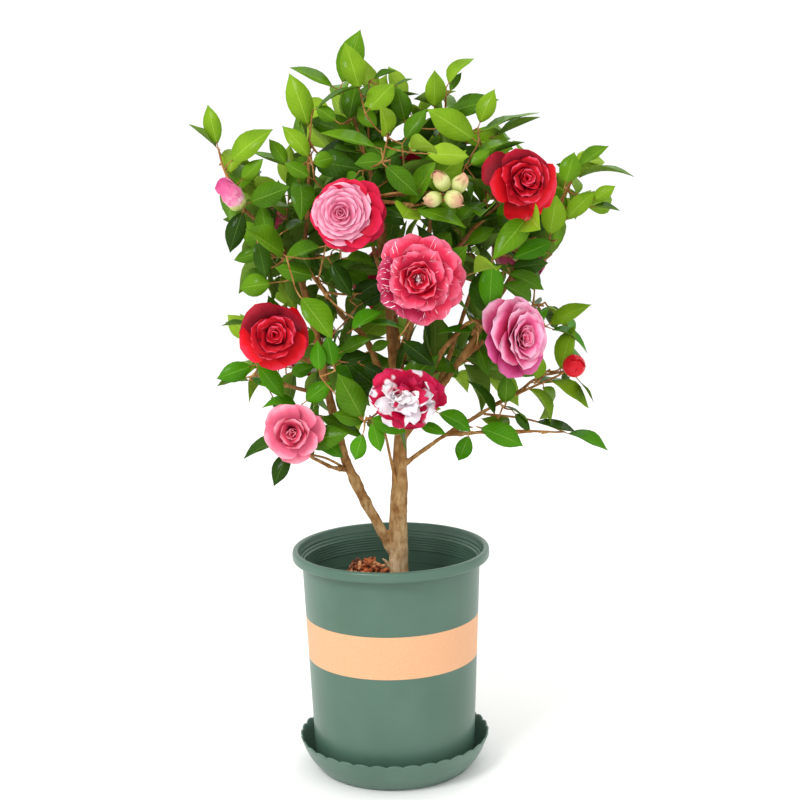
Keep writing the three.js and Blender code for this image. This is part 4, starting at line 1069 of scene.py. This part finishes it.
def growMass(mass):
    name, bough, heart, reach, shootCount, tips = mass
    seed = massSeed(mass, 100)
    draw = stream(seed)
    root = pathPoint(paths[bough], 1)
    rootward = (root - pathPoint(paths[bough], 0.99)).normalized()
    elbow = root.lerp(hearts[name], 0.6) + rootward * 12
    stem = shootTowards(name, root, elbow, Vector(tips[0]), growth["leaf"])
    stemRadius = next(item[4][1] for item in boughs if item[0] == bough)
    kept = [(stem, seed + 1000)]
    for order in range(1, shootCount):
        start = pointOn(stem, mix(0.3, 0.9, order / shootCount))
        options = [Vector(tips[order])] if order < len(tips) else ruledTips(mass, order, draw)
        endLeaf = growth["leaf"] + 10 * draw()
        for tip in options:
            shoot = shootTowards(name, start, None, tip, endLeaf)
            if all(clearOfBlooms(pointOn(shoot, k / 4)) for k in range(5)) and inCrown(tip):
                kept.append((shoot, seed + 1000 * (order + 1)))
                break
    for kind, owner, at, face, radius, *length in blooms + buds:
        if owner == name:
            sink = 0.42 * length[0] if length else 0.45 * radius
            base = Vector(at) - Vector(face).normalized() * sink
            begin = pointOn(stem, 0.6)
            bend = base - Vector(face).normalized() * 0.35 * (base - begin).length
            stalk = growShoot(begin, bend, base + (base - bend) * 0.01, 0.01)
            keepTwig(stalk, *growth["stalk"])
    nodes = []
    for shoot, leafSeed in kept:
        spare = stream(leafSeed + 7)
        age = 0.5 * (spare() - 0.5)     # a whole spray is younger or older than its neighbours
        length = (shoot["tip"] - shoot["foot"]).length
        reached = 1 if length < 1 else 0.92 if shoot is stem else 0.25     # a shoot ends at its last leaf
        for size in (1, 0.75) if length > 1 else ():
            direction = (shoot["tip"] - shoot["foot"]).normalized()
            foot = shoot["tip"] - direction * (length * growth["trueLeaf"] + growth["petiole"])
            end = {"foot": foot, "direction": direction, "length": length * size,
                   "width": length * size * growth["widthShare"]}
            if keepLeaf(name, end, age + 0.12):
                keepTwig({"start": shoot["foot"], "middle": shoot["foot"].lerp(foot, 0.5), "foot": foot,
                          "length": 10}, growth["tipRadius"], growth["tipRadius"] * 0.9, 1)
                reached = 1
                break
        for tries in sideLeaves(shoot, leafSeed)[::2 if name in growth["sparse"] else 1]:
            share = tries[0]["share"]
            for leaf in tries:
                if keepLeaf(name, leaf, age + 0.3 * (share - 0.7)):
                    reached = max(reached, share)
                    break
        keepTwig({"start": shoot["start"], "middle": shoot["start"].lerp(shoot["middle"], reached),
                  "foot": pointOn(shoot, reached), "length": shoot["length"] * reached},
                 *((stemRadius, 1.3) if shoot is stem else (growth["shootRadius"], growth["tipRadius"])))
        nodes += [pointOn(shoot, reached * k / 6) for k in range(1, 7)]
    for foot, *rest in singleLeaves.get(name, ()):
        joints = np.vstack([nodes, grown["nodes"]])
        base = Vector(joints[((joints - np.array(foot)) ** 2).sum(1).argmin()])
        if (base - Vector(foot)).length > 3:
            twig = growShoot(base, None, Vector(foot), 0)
            keepTwig(twig, *growth["fineTwig"])
            nodes = np.vstack([nodes, [pointOn(twig, share) for share in (0.4, 0.7, 1)]])
    fillRoom(mass, np.array(nodes))


# bare and thinly leaved twigs that show below the crown: points, radii at their ends
thinTwigs = [
    ([(9, -9, 384), (2, -12, 419), (-3, -12, 446), (-8, -12, 459), (-24, -12, 476)], (2.2, 1.1)),
    ([(96, -10, 460), (110, -9, 468), (124, -8, 476), (134, -12, 484), (184, -14, 508), (217, -15, 522),
      (230, -17, 530)], (2.3, 1.3)),
    ([(124, -8, 474), (171, -8, 468), (203, -8, 459), (228, -6, 448)], (1.8, 0.9)),
    ([(98, -12, 461), (106, -34, 462), (108, -45, 464)], (1.4, 0.8)),
    ([(-52, -12, 404), (-80, -30, 424), (-104, -52, 436), (-112, -74, 452)], (2.0, 1.2)),
]


def growThinTwigs():
    for points, ends in thinTwigs:
        line = [pathPoint([Vector(point) for point in points], k / 14) for k in range(15)]
        grown["twigs"].append((line, [mix(*ends, k / 14) for k in range(15)], 0))
        grown["nodes"] = np.vstack([grown["nodes"], line])


# a leaf that looks narrow from the front is turned on its rib, and so shows its edge
def growSingleLeaves():
    for name, leaves in singleLeaves.items():
        for foot, tip, tint, wide in leaves:
            foot, tip = Vector(foot), Vector(tip)
            span, direction = (tip - foot).length, (tip - foot).normalized()
            full = max(wide, 0.4)
            turned = [Matrix.Rotation(side * math.acos(wide / full), 3, direction) @ Vector((0, -1, 0.3))
                      for side in (1, -1)]
            keepLeaf(name, {"foot": foot, "direction": direction, "width": 1.1 * full * span,
                            "length": span / (growth["trueLeaf"] + growth["petiole"] / span),
                            "upper": max(turned, key=lambda way: way.z), "roll": 0.5, "tint": tint}, 0, True)


growThinTwigs()
growSingleLeaves()
for mass in masses:
    growMass(mass)
print("grown:", len(grown["leaves"]), "leaves,", len(grown["twigs"]), "twig lines")

# the outline of a leaf: shares of its length, and its half width there in shares of its full width
leafOutline = [(0, 0.03), (0.07, 0.18), (0.17, 0.335), (0.3, 0.455), (0.44, 0.5), (0.58, 0.475),
               (0.71, 0.385), (0.83, 0.235), (0.93, 0.085), (1, 0)]
leafThickness = 0.007           # in shares of the length: about half a millimetre
# how each of the leaf shapes bends: arch along it, fold along its rib, wave of its edge, twist
leafForms = [(0.06, 0.16, 0.010, 0.0), (0.14, 0.26, 0.016, 0.2), (0.24, 0.14, 0.014, -0.3),
             (0.02, 0.34, 0.022, 0.15), (0.12, 0.10, 0.026, -0.15), (0.40, 0.24, 0.016, 0.35),
             (-0.10, 0.20, 0.014, -0.2), (0.30, 0.42, 0.020, 0.1)]


def leafShape(arch, fold, wave, twist, seed):
    bm = bmesh.new()
    mapLayer = bm.loops.layers.uv.new("acrossAndAlong")
    bmesh.ops.create_grid(bm, x_segments=len(leafOutline) - 1, y_segments=2, size=1)
    spots = {}
    for vert in bm.verts:
        row = round((vert.co.x + 1) * (len(leafOutline) - 1) / 2)
        side = vert.co.y
        along, half = leafOutline[row]
        across = side * half
        bend = arch * (along - 0.25) ** 2 * 1.3
        ripple = wave * math.sin(along * 9 + seed + side) * abs(side) * 2 * half
        height = fold * abs(across) * 0.9 - bend + ripple
        height += twist * across * along * 0.6
        spots[vert.index] = (along, 0.5 + 0.5 * side)
        vert.co = Vector((along, across, height))
    setMap(bm, mapLayer, spots)
    bmesh.ops.remove_doubles(bm, verts=[vert for vert in bm.verts if vert.co.x > 0.999], dist=0.002)
    thicken(bm, leafThickness)
    return arraysOf(bm)


# living camellia leaf, waxy on top: leathery, a pale rib and faint side veins, a wet-looking gloss
def waxyLeaf(name, light, dark, rib, roughness):
    material = newMaterial(name, {"Roughness": roughness, "Specular IOR Level": 0.02,
                                  "Coat Weight": 0.12 if roughness < 0.5 else 0, "Coat Roughness": 0.12})
    where = addNode(material, "TexCoord")
    blade = mottle(material, where, 24, 2, [(0.36, dark), (0.62, light)])[1]
    parts = addNode(material, "SeparateXYZ", {}, {"Vector": where.outputs["UV"]})
    centred = addNode(material, "Math", {"operation": "SUBTRACT", 1: 0.5}, {0: parts.outputs["Y"]})
    offRib = addNode(material, "Math", {"operation": "ABSOLUTE"}, {0: centred.outputs["Value"]})
    ribMask = addNode(material, "MapRange",
                      {"From Min": 0.008, "From Max": 0.026, "To Min": 0.6, "To Max": 0},
                      {"Value": offRib.outputs["Value"]})
    ribbed = addNode(material, "MixRGB", {"Color2": linear(rib)},
                     {"Fac": ribMask.outputs["Result"], "Color1": blade.outputs["Color"]})
    # side veins every 7 mm or so, sloping from the rib towards the tip
    slope = addNode(material, "Math", {"operation": "MULTIPLY_ADD", 1: -0.55},
                    {0: offRib.outputs["Value"], 2: parts.outputs["X"]})
    phase = addNode(material, "Math", {"operation": "MULTIPLY", 1: 56}, {0: slope.outputs["Value"]})
    veins = addNode(material, "Math", {"operation": "SINE"}, {0: phase.outputs["Value"]})
    veinMask = addNode(material, "MapRange", {"From Min": 0.8, "From Max": 1, "To Max": 0.16},
                       {"Value": veins.outputs["Value"]})
    veined = addNode(material, "MixRGB", {"Color2": linear(rib)},
                     {"Fac": veinMask.outputs["Result"], "Color1": ribbed.outputs["Color"]})
    relief = addNode(material, "Math", {"operation": "ADD"},
                     {0: veinMask.outputs["Result"], 1: ribMask.outputs["Result"]})
    bump = addNode(material, "Bump", {"Strength": 0.35, "Distance": 0.0006, "invert": True},
                   {"Height": relief.outputs["Value"]})
    return feed(material, {"Base Color": veined.outputs["Color"], "Normal": bump.outputs["Normal"]})


# five from the inner leaves to the tenderest, partly painted light; the undersides, paler, greyer and matt;
# then the purer green of fresh leaves low on the plant, and a deeper copy for leaves in shade, painted shade
leafTints = [
    waxyLeaf("camellia_leaf_inner", "#385e12", "#28480c", "#648430", 0.28),
    waxyLeaf("camellia_leaf_mature", "#4c7810", "#3c640c", "#80a03c", 0.3),
    waxyLeaf("camellia_leaf_fresh", "#608e14", "#4e7a0e", "#92b040", 0.34),
    waxyLeaf("camellia_leaf_young", "#7aa21c", "#689016", "#a2be4a", 0.38),
    waxyLeaf("camellia_leaf_tender", "#8eb028", "#7ca01e", "#b0ca5c", 0.4),
    waxyLeaf("camellia_leaf_underside", "#62802c", "#527022", "#8ea25c", 0.6),
    waxyLeaf("camellia_leaf_young_underside", "#84a430", "#749426", "#a6bc5a", 0.6),
    waxyLeaf("camellia_leaf_bright", "#4c8c0e", "#3e7c0a", "#84b044", 0.3),
    waxyLeaf("camellia_leaf_painted_shade", "#28440e", "#1c340a", "#587a34", 0.24),
]

# places in the list above
freshTint, youngTints, underTint, youngUnderTint, brightTint = 2, (3, 4), 5, 6, 7


def buildLeaves():
    shapes = [leafShape(*form, seed) for seed, form in enumerate(leafForms)]
    draw = stream(77)
    groups = {"leaves_front": [], "leaves_back": []}
    for leaf in grown["leaves"]:
        x = leaf["direction"].copy()
        y = leaf["upper"].cross(x).normalized()
        z = x.cross(y)
        roll = Matrix.Rotation((draw() - 0.5) * leaf["roll"], 3, x)
        y, z = roll @ y, roll @ z
        length = leaf["length"]
        matrix = axesFrame(x * length, y * leaf["width"], z * length, leaf["foot"])
        # the tint follows the lightness: partly the leaf's age, partly painted light and shade
        tint = int(clamp(leaf["young"] * 5 + 1.2 * (draw() - 0.5), 0, 4.99))
        if tint == freshTint and leaf["foot"].z < growth["lowLeaves"]:
            tint = brightTint
        tint = tint if leaf["tint"] is None else leaf["tint"]
        under = youngUnderTint if tint in youngTints else underTint
        group = "leaves_back" if "back" in leaf["mass"] else "leaves_front"
        groups[group].append((int(draw() * len(shapes)), matrix, [tint, under]))
    for name, copies in groups.items():
        replaced = [mass[0] for mass in masses if ("back" in mass[0]) == (name == "leaves_back")]
        addPiece(name, joinCopies(name, shapes, copies), leafTints, replaced)


# green wood of this year's shoots and the leaf stalks: smooth, a little shiny
greenWood = newMaterial("camellia_green_wood", {"Roughness": 0.5})
woodColour = mottle(greenWood, addNode(greenWood, "TexCoord"), 70, 2,
                    [(0.38, "#a98a3c"), (0.6, "#98b548")])[1]
feed(greenWood, {"Base Color": woodColour.outputs["Color"]})

buildLeaves()
addPiece("twigs", tubesMesh("twigs", grown["twigs"], 1), [twigBark, greenWood])
print("leaves and twigs done")

# each kind is built in rings from the outside in: number of petals, and pairs that run from the
# ring's first petal to its last: rise in degrees; length, width and base height in shares of the
# bloom's radius; then cup, curl and ruffle of the petals, their unevenness, tint and sideways shift
ringKeys = ("count", "rise", "length", "width", "base", "cup", "curl", "ruffle", "uneven", "tint", "shift")
bloomKinds = {
    "formal": [(15, (2, 26), (1.0, 0.98), (0.8, 0.74), (-0.34, -0.28), 0.16, -0.1, 0.03, 0.12, 0, (0, 0)),
               (28, (8, 34), (0.86, 0.42), (0.78, 0.46), (-0.1, 0.02),
                0.12, -0.05, 0.016, 0.06, 1, (-0.13, 0.03)),
               (13, (38, 80), (0.42, 0.2), (0.42, 0.2), (0.02, 0.1),
                0.34, 0.02, 0.012, 0.06, 2, (-0.15, 0.03))],
    "redRose": [(7, (-4, 30), (1.1, 1.0), (1.2, 1.05), (-0.36, -0.3), 0.26, -0.26, 0.03, 0.3, 0, (0, 0)),
                (11, (40, 66), (0.96, 0.76), (0.92, 0.7), (-0.32, -0.22),
                 0.46, -0.24, 0.03, 0.16, 1, (0.06, 0.0)),
                (9, (68, 86), (0.7, 0.44), (0.58, 0.34), (-0.24, -0.12),
                 0.62, -0.16, 0.02, 0.14, 1, (0.12, 0.02))],
    "coral": [(18, (0, 18), (1.0, 0.92), (0.66, 0.58), (-0.32, -0.24), 0.12, -0.12, 0.05, 0.12, 0, (0, 0)),
              (12, (26, 40), (0.82, 0.74), (0.66, 0.54), (-0.26, -0.2), 0.3, -0.12, 0.04, 0.1, 0, (-0.02, 0)),
              (11, (60, 74), (0.76, 0.64), (0.6, 0.46), (-0.26, -0.2), 0.5, -0.08, 0.03, 0.1, 1, (-0.02, 0)),
              (8, (74, 86), (0.54, 0.4), (0.4, 0.3), (-0.22, -0.18), 0.5, -0.04, 0.03, 0.1, 1, (-0.02, 0)),
              (7, (40, 86), (0.34, 0.26), (0.26, 0.18), (-0.06, 0.0), 0.3, 0.1, 0.1, 0.4, 2, (0, 0.02))],
    "mauve": [(11, (4, 30), (1.0, 0.98), (1.04, 0.92), (-0.34, -0.28), 0.24, -0.1, 0.03, 0.1, 0, (0, 0)),
              (13, (34, 60), (0.94, 0.76), (0.92, 0.7), (-0.3, -0.2), 0.36, -0.12, 0.03, 0.1, 0, (0, 0)),
              (11, (62, 84), (0.64, 0.38), (0.54, 0.34), (-0.2, -0.06), 0.42, -0.06, 0.03, 0.1, 1, (0, 0))],
    "rosePink": [(8, (4, 26), (1.0, 0.94), (0.92, 0.8), (-0.36, -0.3), 0.28, -0.06, 0.02, 0.16, 0, (0, 0)),
                 (6, (46, 62), (0.76, 0.62), (0.8, 0.66), (-0.28, -0.18),
                  0.5, -0.14, 0.03, 0.14, 1, (0.03, 0)),
                 (6, (68, 84), (0.44, 0.32), (0.46, 0.28), (-0.16, -0.08),
                  0.5, -0.06, 0.03, 0.12, 1, (0.05, -0.03))],
    "striped": [(11, (-4, 28), (1.03, 0.94), (0.9, 0.76), (-0.36, -0.28), 0.14, -0.18, 0.12, 0.3, 0, (0, 0)),
                (10, (34, 60), (0.86, 0.68), (0.74, 0.58), (-0.28, -0.16), 0.3, -0.1, 0.14, 0.32, 1, (0, 0)),
                (6, (40, 80), (0.6, 0.42), (0.52, 0.34), (-0.12, 0), 0.3, 0.02, 0.1, 0.35, 2, (-0.14, 0.18))],
}
# kinds whose outer petals towards one side take their last tint, a darker copy that is painted shade; and
# kinds that are oval
paintedShadeSide = {"redRose": (-0.45, 0.9), "coral": (-0.85, -0.5), "mauve": (-0.6, -0.8)}
ovals = {"striped": (1.08, 0.86), "mauve": (0.96, 1.04)}
# the outline of a petal: shares of its length, and its half width there; its columns across.
# The last row and the outer columns are narrow, so that the shading turns only at the rim
petalOutline = [(0, 0.12), (0.28, 0.34), (0.56, 0.47), (0.8, 0.5), (0.92, 0.43), (0.985, 0.27), (1, 0.23)]
petalColumns = [-1, -0.97, -0.36, 0.36, 0.97, 1]


def petalShape(cup, curl, ruffle, seed, bulge=0.05):
    bm = bmesh.new()
    mapLayer = bm.loops.layers.uv.new("acrossAndAlong")
    bmesh.ops.create_grid(bm, x_segments=len(petalOutline) - 1, y_segments=len(petalColumns) - 1, size=1)
    spots = {}
    for vert in bm.verts:
        t, half = petalOutline[round((vert.co.x + 1) * (len(petalOutline) - 1) / 2)]
        side = petalColumns[round((vert.co.y + 1) * (len(petalColumns) - 1) / 2)]
        height = cup * (side * half * 2) ** 2 * 0.5
        height += curl * (max(t - 0.45, 0) ** 2) * 2.4 + bulge * math.sin(t * math.pi)
        height += ruffle * (math.sin(side * 4.4 + seed * 2.1) + 0.5 * math.sin(side * 9 + seed)) * t * t
        spots[vert.index] = (clamp(max(t, 0.95 * abs(side) * (0.35 + 0.65 * t))), 0.5 + 0.5 * side)
        vert.co = Vector((t - 0.05 * side * side * t, side * half, height))
    setMap(bm, mapLayer, spots)
    thicken(bm, 0.007)
    return arraysOf(bm)


# colours that follow one another from a petal's foot to its rim, their borders swayed by soft noise
def alongPetal(material, scale, swing, places, colours):
    where = addNode(material, "TexCoord")
    parts = addNode(material, "SeparateXYZ", {}, {"Vector": where.outputs["UV"]})
    clouds = addNode(material, "TexNoise", {"Scale": scale, "Detail": 3}, {"Vector": where.outputs["Object"]})
    sway = addNode(material, "MapRange", {"To Min": -swing, "To Max": swing},
                   {"Value": clouds.outputs["Fac"]})
    reach = addNode(material, "Math", {"operation": "ADD"},
                    {0: parts.outputs["X"], 1: sway.outputs["Result"]})
    colour = addNode(material, "ValToRGB", {"stops": list(zip(places, colours))},
                     {"Fac": reach.outputs["Value"]})
    return where, parts, colour


# camellia petal: soft and velvety; its colour runs from painted shade at the foot, where petals crowd, to a
# lighter rim that is partly the petal's own paler edge and partly a painted highlight
def softPetal(name, paintedShade, middle, rim, places, white=None):
    material = newMaterial(name, {"Roughness": 0.5, "Specular IOR Level": 0.12})
    where, parts, colour = alongPetal(material, 90, 0.12, places, (paintedShade, middle, rim))
    # fine veins fan along the petal, about 1.2 mm apart
    fan = addNode(material, "Mapping", {"Scale": (1.2, 26, 1)}, {"Vector": where.outputs["UV"]})
    veins = addNode(material, "TexNoise", {"Scale": 1.0, "Detail": 3}, {"Vector": fan.outputs["Vector"]})
    bump = addNode(material, "Bump", {"Strength": 0.3, "Distance": 0.0006}, {"Height": veins.outputs["Fac"]})
    result = colour
    if white:                   # streaks or patches of white, in their own places on each bloom
        streaks = addNode(material, "TexNoise",
                          {"noise_dimensions": "4D", "Scale": white["scale"], "Detail": 2})
        if white["along"]:
            stretch = addNode(material, "Mapping", {"Scale": (1.1, 11, 1)}, {"Vector": where.outputs["UV"]})
            spot = addNode(material, "SeparateXYZ", {}, {"Vector": where.outputs["Object"]})
            drift = addNode(material, "Math", {"operation": "MULTIPLY", 1: 45}, {0: spot.outputs["X"]})
            material.node_tree.links.new(stretch.outputs["Vector"], streaks.inputs["Vector"])
            material.node_tree.links.new(drift.outputs["Value"], streaks.inputs["W"])
        else:
            material.node_tree.links.new(where.outputs["Object"], streaks.inputs["Vector"])
        edge = addNode(material, "MapRange", {"From Min": white["from"], "From Max": white["from"] + 0.03},
                       {"Value": streaks.outputs["Fac"]})
        outer = addNode(material, "MapRange", {"From Min": white["start"], "From Max": white["start"] + 0.15},
                        {"Value": parts.outputs["X"]})
        both = addNode(material, "Math", {"operation": "MULTIPLY"},
                       {0: edge.outputs["Result"], 1: outer.outputs["Result"]})
        result = addNode(material, "MixRGB", {"Color2": linear("#f4e9f0")},
                         {"Fac": both.outputs["Value"], "Color1": colour.outputs["Color"]})
    return feed(material, {"Base Color": result.outputs["Color"], "Normal": bump.outputs["Normal"]})


# the petals of each kind: outer, inner and, where there are any, the small ones in the middle; last, for some
# kinds, a darker copy for the outer petals on one side, painted shade
# each petal's first colour is painted shade at its foot; its last, at the rim, is partly a painted highlight
petalTints = {
    "formal": [softPetal("petal_crimson", "#72041a", "#c00a30", "#da244c", (0.4, 0.82, 1)),
               softPetal("petal_pale_pink", "#b83460", "#dc7494", "#eeb2c6", (0.35, 0.84, 1)),
               softPetal("petal_pink_middle", "#a81e48", "#d85c80", "#ea9cb4", (0.3, 0.8, 1))],
    "redRose": [softPetal("petal_scarlet", "#6a030c", "#dc0618", "#e4324c", (0.36, 0.84, 1)),
                softPetal("petal_scarlet_inner", "#180108", "#c4081e", "#e04c68", (0.62, 0.96, 1)),
                softPetal("petal_scarlet_painted_shade", "#2c0208", "#80041a", "#a81028", (0.35, 0.8, 1))],
    "coral": [softPetal("petal_coral", "#a00c30", "#de3052", "#f07894", (0.38, 0.82, 1),
                        {"scale": 1.6, "from": 0.66, "start": 0.7, "along": True}),
              softPetal("petal_coral_inner", "#3c020e", "#c60c28", "#f07088", (0.58, 0.92, 1),
                        {"scale": 1.6, "from": 0.7, "start": 0.8, "along": True}),
              softPetal("petal_coral_middle", "#e0566e", "#f6a6b2", "#fff4f6", (0.2, 0.5, 0.8)),
              softPetal("petal_coral_painted_shade", "#5c0420", "#a80e3c", "#cc4c70", (0.35, 0.8, 1),
                        {"scale": 1.6, "from": 0.64, "start": 0.66, "along": True})],
    "mauve": [softPetal("petal_mauve_pink", "#c42256", "#e65a90", "#f8bcd6", (0.34, 0.8, 1)),
              softPetal("petal_mauve_inner", "#b01c44", "#e2567e", "#f2a0be", (0.38, 0.84, 1)),
              softPetal("petal_mauve_painted_shade", "#941040", "#c03a74", "#d86aa0", (0.38, 0.82, 1))],
    "rosePink": [softPetal("petal_rose_pink", "#c03058", "#ec6e8c", "#f8a8ba", (0.3, 0.8, 1)),
                 softPetal("petal_rose_inner", "#861a30", "#cc3c58", "#f494a8", (0.46, 0.84, 1))],
    "striped": [softPetal("petal_crimson_striped", "#74042a", "#c00a3c", "#d02858", (0.3, 0.8, 1),
                          {"scale": 30, "from": 0.51, "start": 0.25, "along": False}),
                softPetal("petal_crimson_striped_inner", "#66031f", "#b80836", "#d02858", (0.3, 0.8, 1),
                          {"scale": 34, "from": 0.51, "start": 0.25, "along": False}),
                softPetal("petal_white_middle", "#c83460", "#f8e4ec", "#fffafc", (0.08, 0.25, 0.6))],
}


# the local frame of a bloom or bud: its own +Z faces the way that it faces
def facing(at, face):
    z = Vector(face).normalized()
    x = up.cross(z).normalized()
    return axesFrame(x, z.cross(x), z, at)


def petalCopies(kind, rings, at, face, radius, seed):
    draw = stream(seed)
    copies = []
    frameMatrix = facing(at, face) @ Matrix.Diagonal((*ovals.get(kind, (1, 1)), 1, 1))
    side = Vector((*paintedShadeSide.get(kind, (0, 0)), 0))
    number = 0
    for level, ring in enumerate(rings):
        uneven = ring["uneven"]
        for k in range(ring["count"]):
            share = k / (ring["count"] - 1)
            rise = math.radians(mix(*ring["rise"], share) + 60 * uneven * (draw() - 0.5))
            angle = goldenAngle * number + 2 * uneven * (draw() - 0.5)
            length = radius * mix(*ring["length"], share) * (1 + uneven * (draw() - 0.5))
            width = radius * mix(*ring["width"], share) * (1 + uneven * (draw() - 0.5))
            radial, axis = Vector((math.cos(angle), math.sin(angle), 0)), Vector((0, 0, 1))
            x = radial * math.cos(rise) + axis * math.sin(rise)
            z = axis * math.cos(rise) - radial * math.sin(rise)
            y = z.cross(x)
            roll = Matrix.Rotation(1.6 * uneven * (draw() - 0.5), 3, x)
            y, z = roll @ y, roll @ z
            foot = Vector((*ring["shift"], mix(*ring["base"], share))) * radius
            petal = axesFrame(x * length, y * width, z * length, foot)
            # outer petals towards the shaded side take the last, darker tint: painted shade
            dark = level == 0 and radial.dot(side) > 0.45
            tint = len(petalTints[kind]) - 1 if dark else ring["tint"]
            copies.append((2 * level + k % 2, frameMatrix @ petal, [tint, tint]))
            number += 1
    return copies


def buildBlooms():
    for kind, rows in bloomKinds.items():
        rings = [dict(zip(ringKeys, row)) for row in rows]
        shapes = [petalShape(ring["cup"], ring["curl"], ring["ruffle"] * (1 + 0.4 * variant),
                             3 * level + variant)
                  for level, ring in enumerate(rings) for variant in range(2)]
        copies = []
        for number, (which, mass, at, face, radius) in enumerate(blooms):
            if which == kind:
                copies += petalCopies(kind, rings, at, face, radius, 500 + number)
        name = "blooms_" + "".join("_" + letter.lower() if letter.isupper() else letter for letter in kind)
        addPiece(name, joinCopies(name, shapes, copies), petalTints[kind])


buildBlooms()

# bud scales and calyx: smooth, green with a brown flush
def budScale(name, tip, body, base, places):
    material = newMaterial(name, {"Roughness": 0.42, "Specular IOR Level": 0.25})
    colour = alongPetal(material, 160, 0.14, places, (base, body, tip))[2]
    return feed(material, {"Base Color": colour.outputs["Color"]})


budTints = {
    "pink": budScale("bud_petal_pink", "#b4246c", "#e6709f", "#f6c8d4", (0.2, 0.62, 1)),
    "red": budScale("bud_petal_red", "#d00a20", "#e01c30", "#f4c8c0", (0.05, 0.3, 0.9)),
    "cream": budScale("bud_petal_cream", "#cc947c", "#d2d490", "#98aa4a", (0.15, 0.55, 1)),
}
sepalGreen = budScale("sepal_green", "#c2b87a", "#b4be68", "#8ca244", (0.15, 0.5, 0.92))


# the plump spun heart of a bud; x of its map runs to the tip
def budShape():
    bm = bmesh.new()
    mapLayer = bm.loops.layers.uv.new("acrossAndAlong")
    heights = [0, 0.05, 0.14, 0.27, 0.42, 0.57, 0.71, 0.83, 0.93, 0.98]
    widths = [0.0, 0.5, 0.78, 0.93, 0.98, 0.93, 0.8, 0.6, 0.34, 0.0]
    spin(bm, zip(widths, heights), 18, 1e-5)
    for face in bm.faces:
        face.smooth = True
        for loop in face.loops:
            loop[mapLayer].uv = (clamp(loop.vert.co.z), 0.5)
    return arraysOf(bm)


# one scale or wrapped petal that stands up round a bud's axis
def wrapped(frameMatrix, angle, length, width, foot, lean):
    radial = Vector((math.cos(angle), math.sin(angle), 0))
    x = (up * math.cos(lean) + radial * math.sin(lean)).normalized()
    y = up.cross(radial)
    z = x.cross(y)
    return frameMatrix @ axesFrame(x * length, y * width, z * length, radial * foot)


def buildBuds():
    # a heart, two shapes of wrapped petal, and a sepal
    shapes = [budShape(), petalShape(0.46, 0.02, 0.008, 2, -0.28), petalShape(0.4, -0.06, 0.012, 5, -0.3),
              petalShape(0.4, 0.1, 0.01, 3, -0.22)]
    copies = []
    sepal = [len(budTints)] * 2
    for index, (kind, mass, at, face, radius, length) in enumerate(buds):
        draw = stream(900 + index)
        place = facing(Vector(at) - Vector(face).normalized() * 0.5 * length, face)
        tint = [list(budTints).index(kind)] * 2
        copies.append((0, place @ Matrix.Diagonal((radius, radius, length, 1)), tint))
        for k in range(6):
            tall, wide, foot = length * mix(1.06, 0.74, k / 5), mix(1.5, 1.9, draw()), mix(0.04, 0.3, k / 5)
            copies.append((1 + k % 2, wrapped(place, goldenAngle * k + index, tall, radius * wide,
                                              radius * foot, 0.03), tint))
        for k in range(5):
            tall = length * mix(0.28, 0.4, draw())
            copies.append((3, wrapped(place, 1.2566 * k + index, tall, radius * 1.2, radius * 0.4, 0.45),
                           sepal))
    for number, (kind, mass, at, face, radius) in enumerate(blooms):
        place = facing(Vector(at) - Vector(face).normalized() * 0.5 * radius, face)
        for k in range(6):
            copies.append((3, wrapped(place, 1.05 * k, radius * 0.42, radius * 0.34, radius * 0.08, 0.5),
                           sepal))
    materials = [*budTints.values(), sepalGreen]
    addPiece("buds_and_calyxes", joinCopies("buds_and_calyxes", shapes, copies), materials)


buildBuds()
print("blooms and buds done")

stageSettings = {"floor": 12, "sky": 1.05, "key": 52, "fill": 3, "back": 14}

# matt studio paper
paper = newMaterial("studio_paper", {"Roughness": 0.9})
paperColour = mottle(paper, addNode(paper, "TexCoord"), 2, 2, [(0.3, "#fafaf8"), (0.7, "#fcfcfb")])[1]
feed(paper, {"Base Color": paperColour.outputs["Color"]})


def buildStage():
    bm = bmesh.new()
    bmesh.ops.create_grid(bm, x_segments=1, y_segments=1, size=stageSettings["floor"])
    floor = bpy.data.objects.new("floor", toMesh(bm, "floor"))
    floor.data.materials.append(paper)
    scene.collection.objects.link(floor)
    for name, place, size, power in (("key", (-1.5, -2.1, 2.6), 1.0, stageSettings["key"]),
                                     ("fill", (2.2, -1.6, 1.5), 1.8, stageSettings["fill"]),
                                     ("back", (0.6, 1.9, 2.4), 1.6, stageSettings["back"])):
        lamp = bpy.data.lights.new(name, "AREA")
        lamp.size, lamp.energy = size, power
        holder = bpy.data.objects.new(name, lamp)
        holder.location = place
        holder.rotation_euler = (Vector((0, 0, 0.6)) - Vector(place)).to_track_quat("-Z", "Y").to_euler()
        scene.collection.objects.link(holder)
    world = bpy.data.worlds.new("studio")
    world.use_nodes = True
    world.node_tree.nodes["Background"].inputs["Color"].default_value = (1, 1, 1, 1)
    world.node_tree.nodes["Background"].inputs["Strength"].default_value = stageSettings["sky"]
    scene.world = world
    scene.view_settings.view_transform = "Standard"


buildStage()
print("stage done")
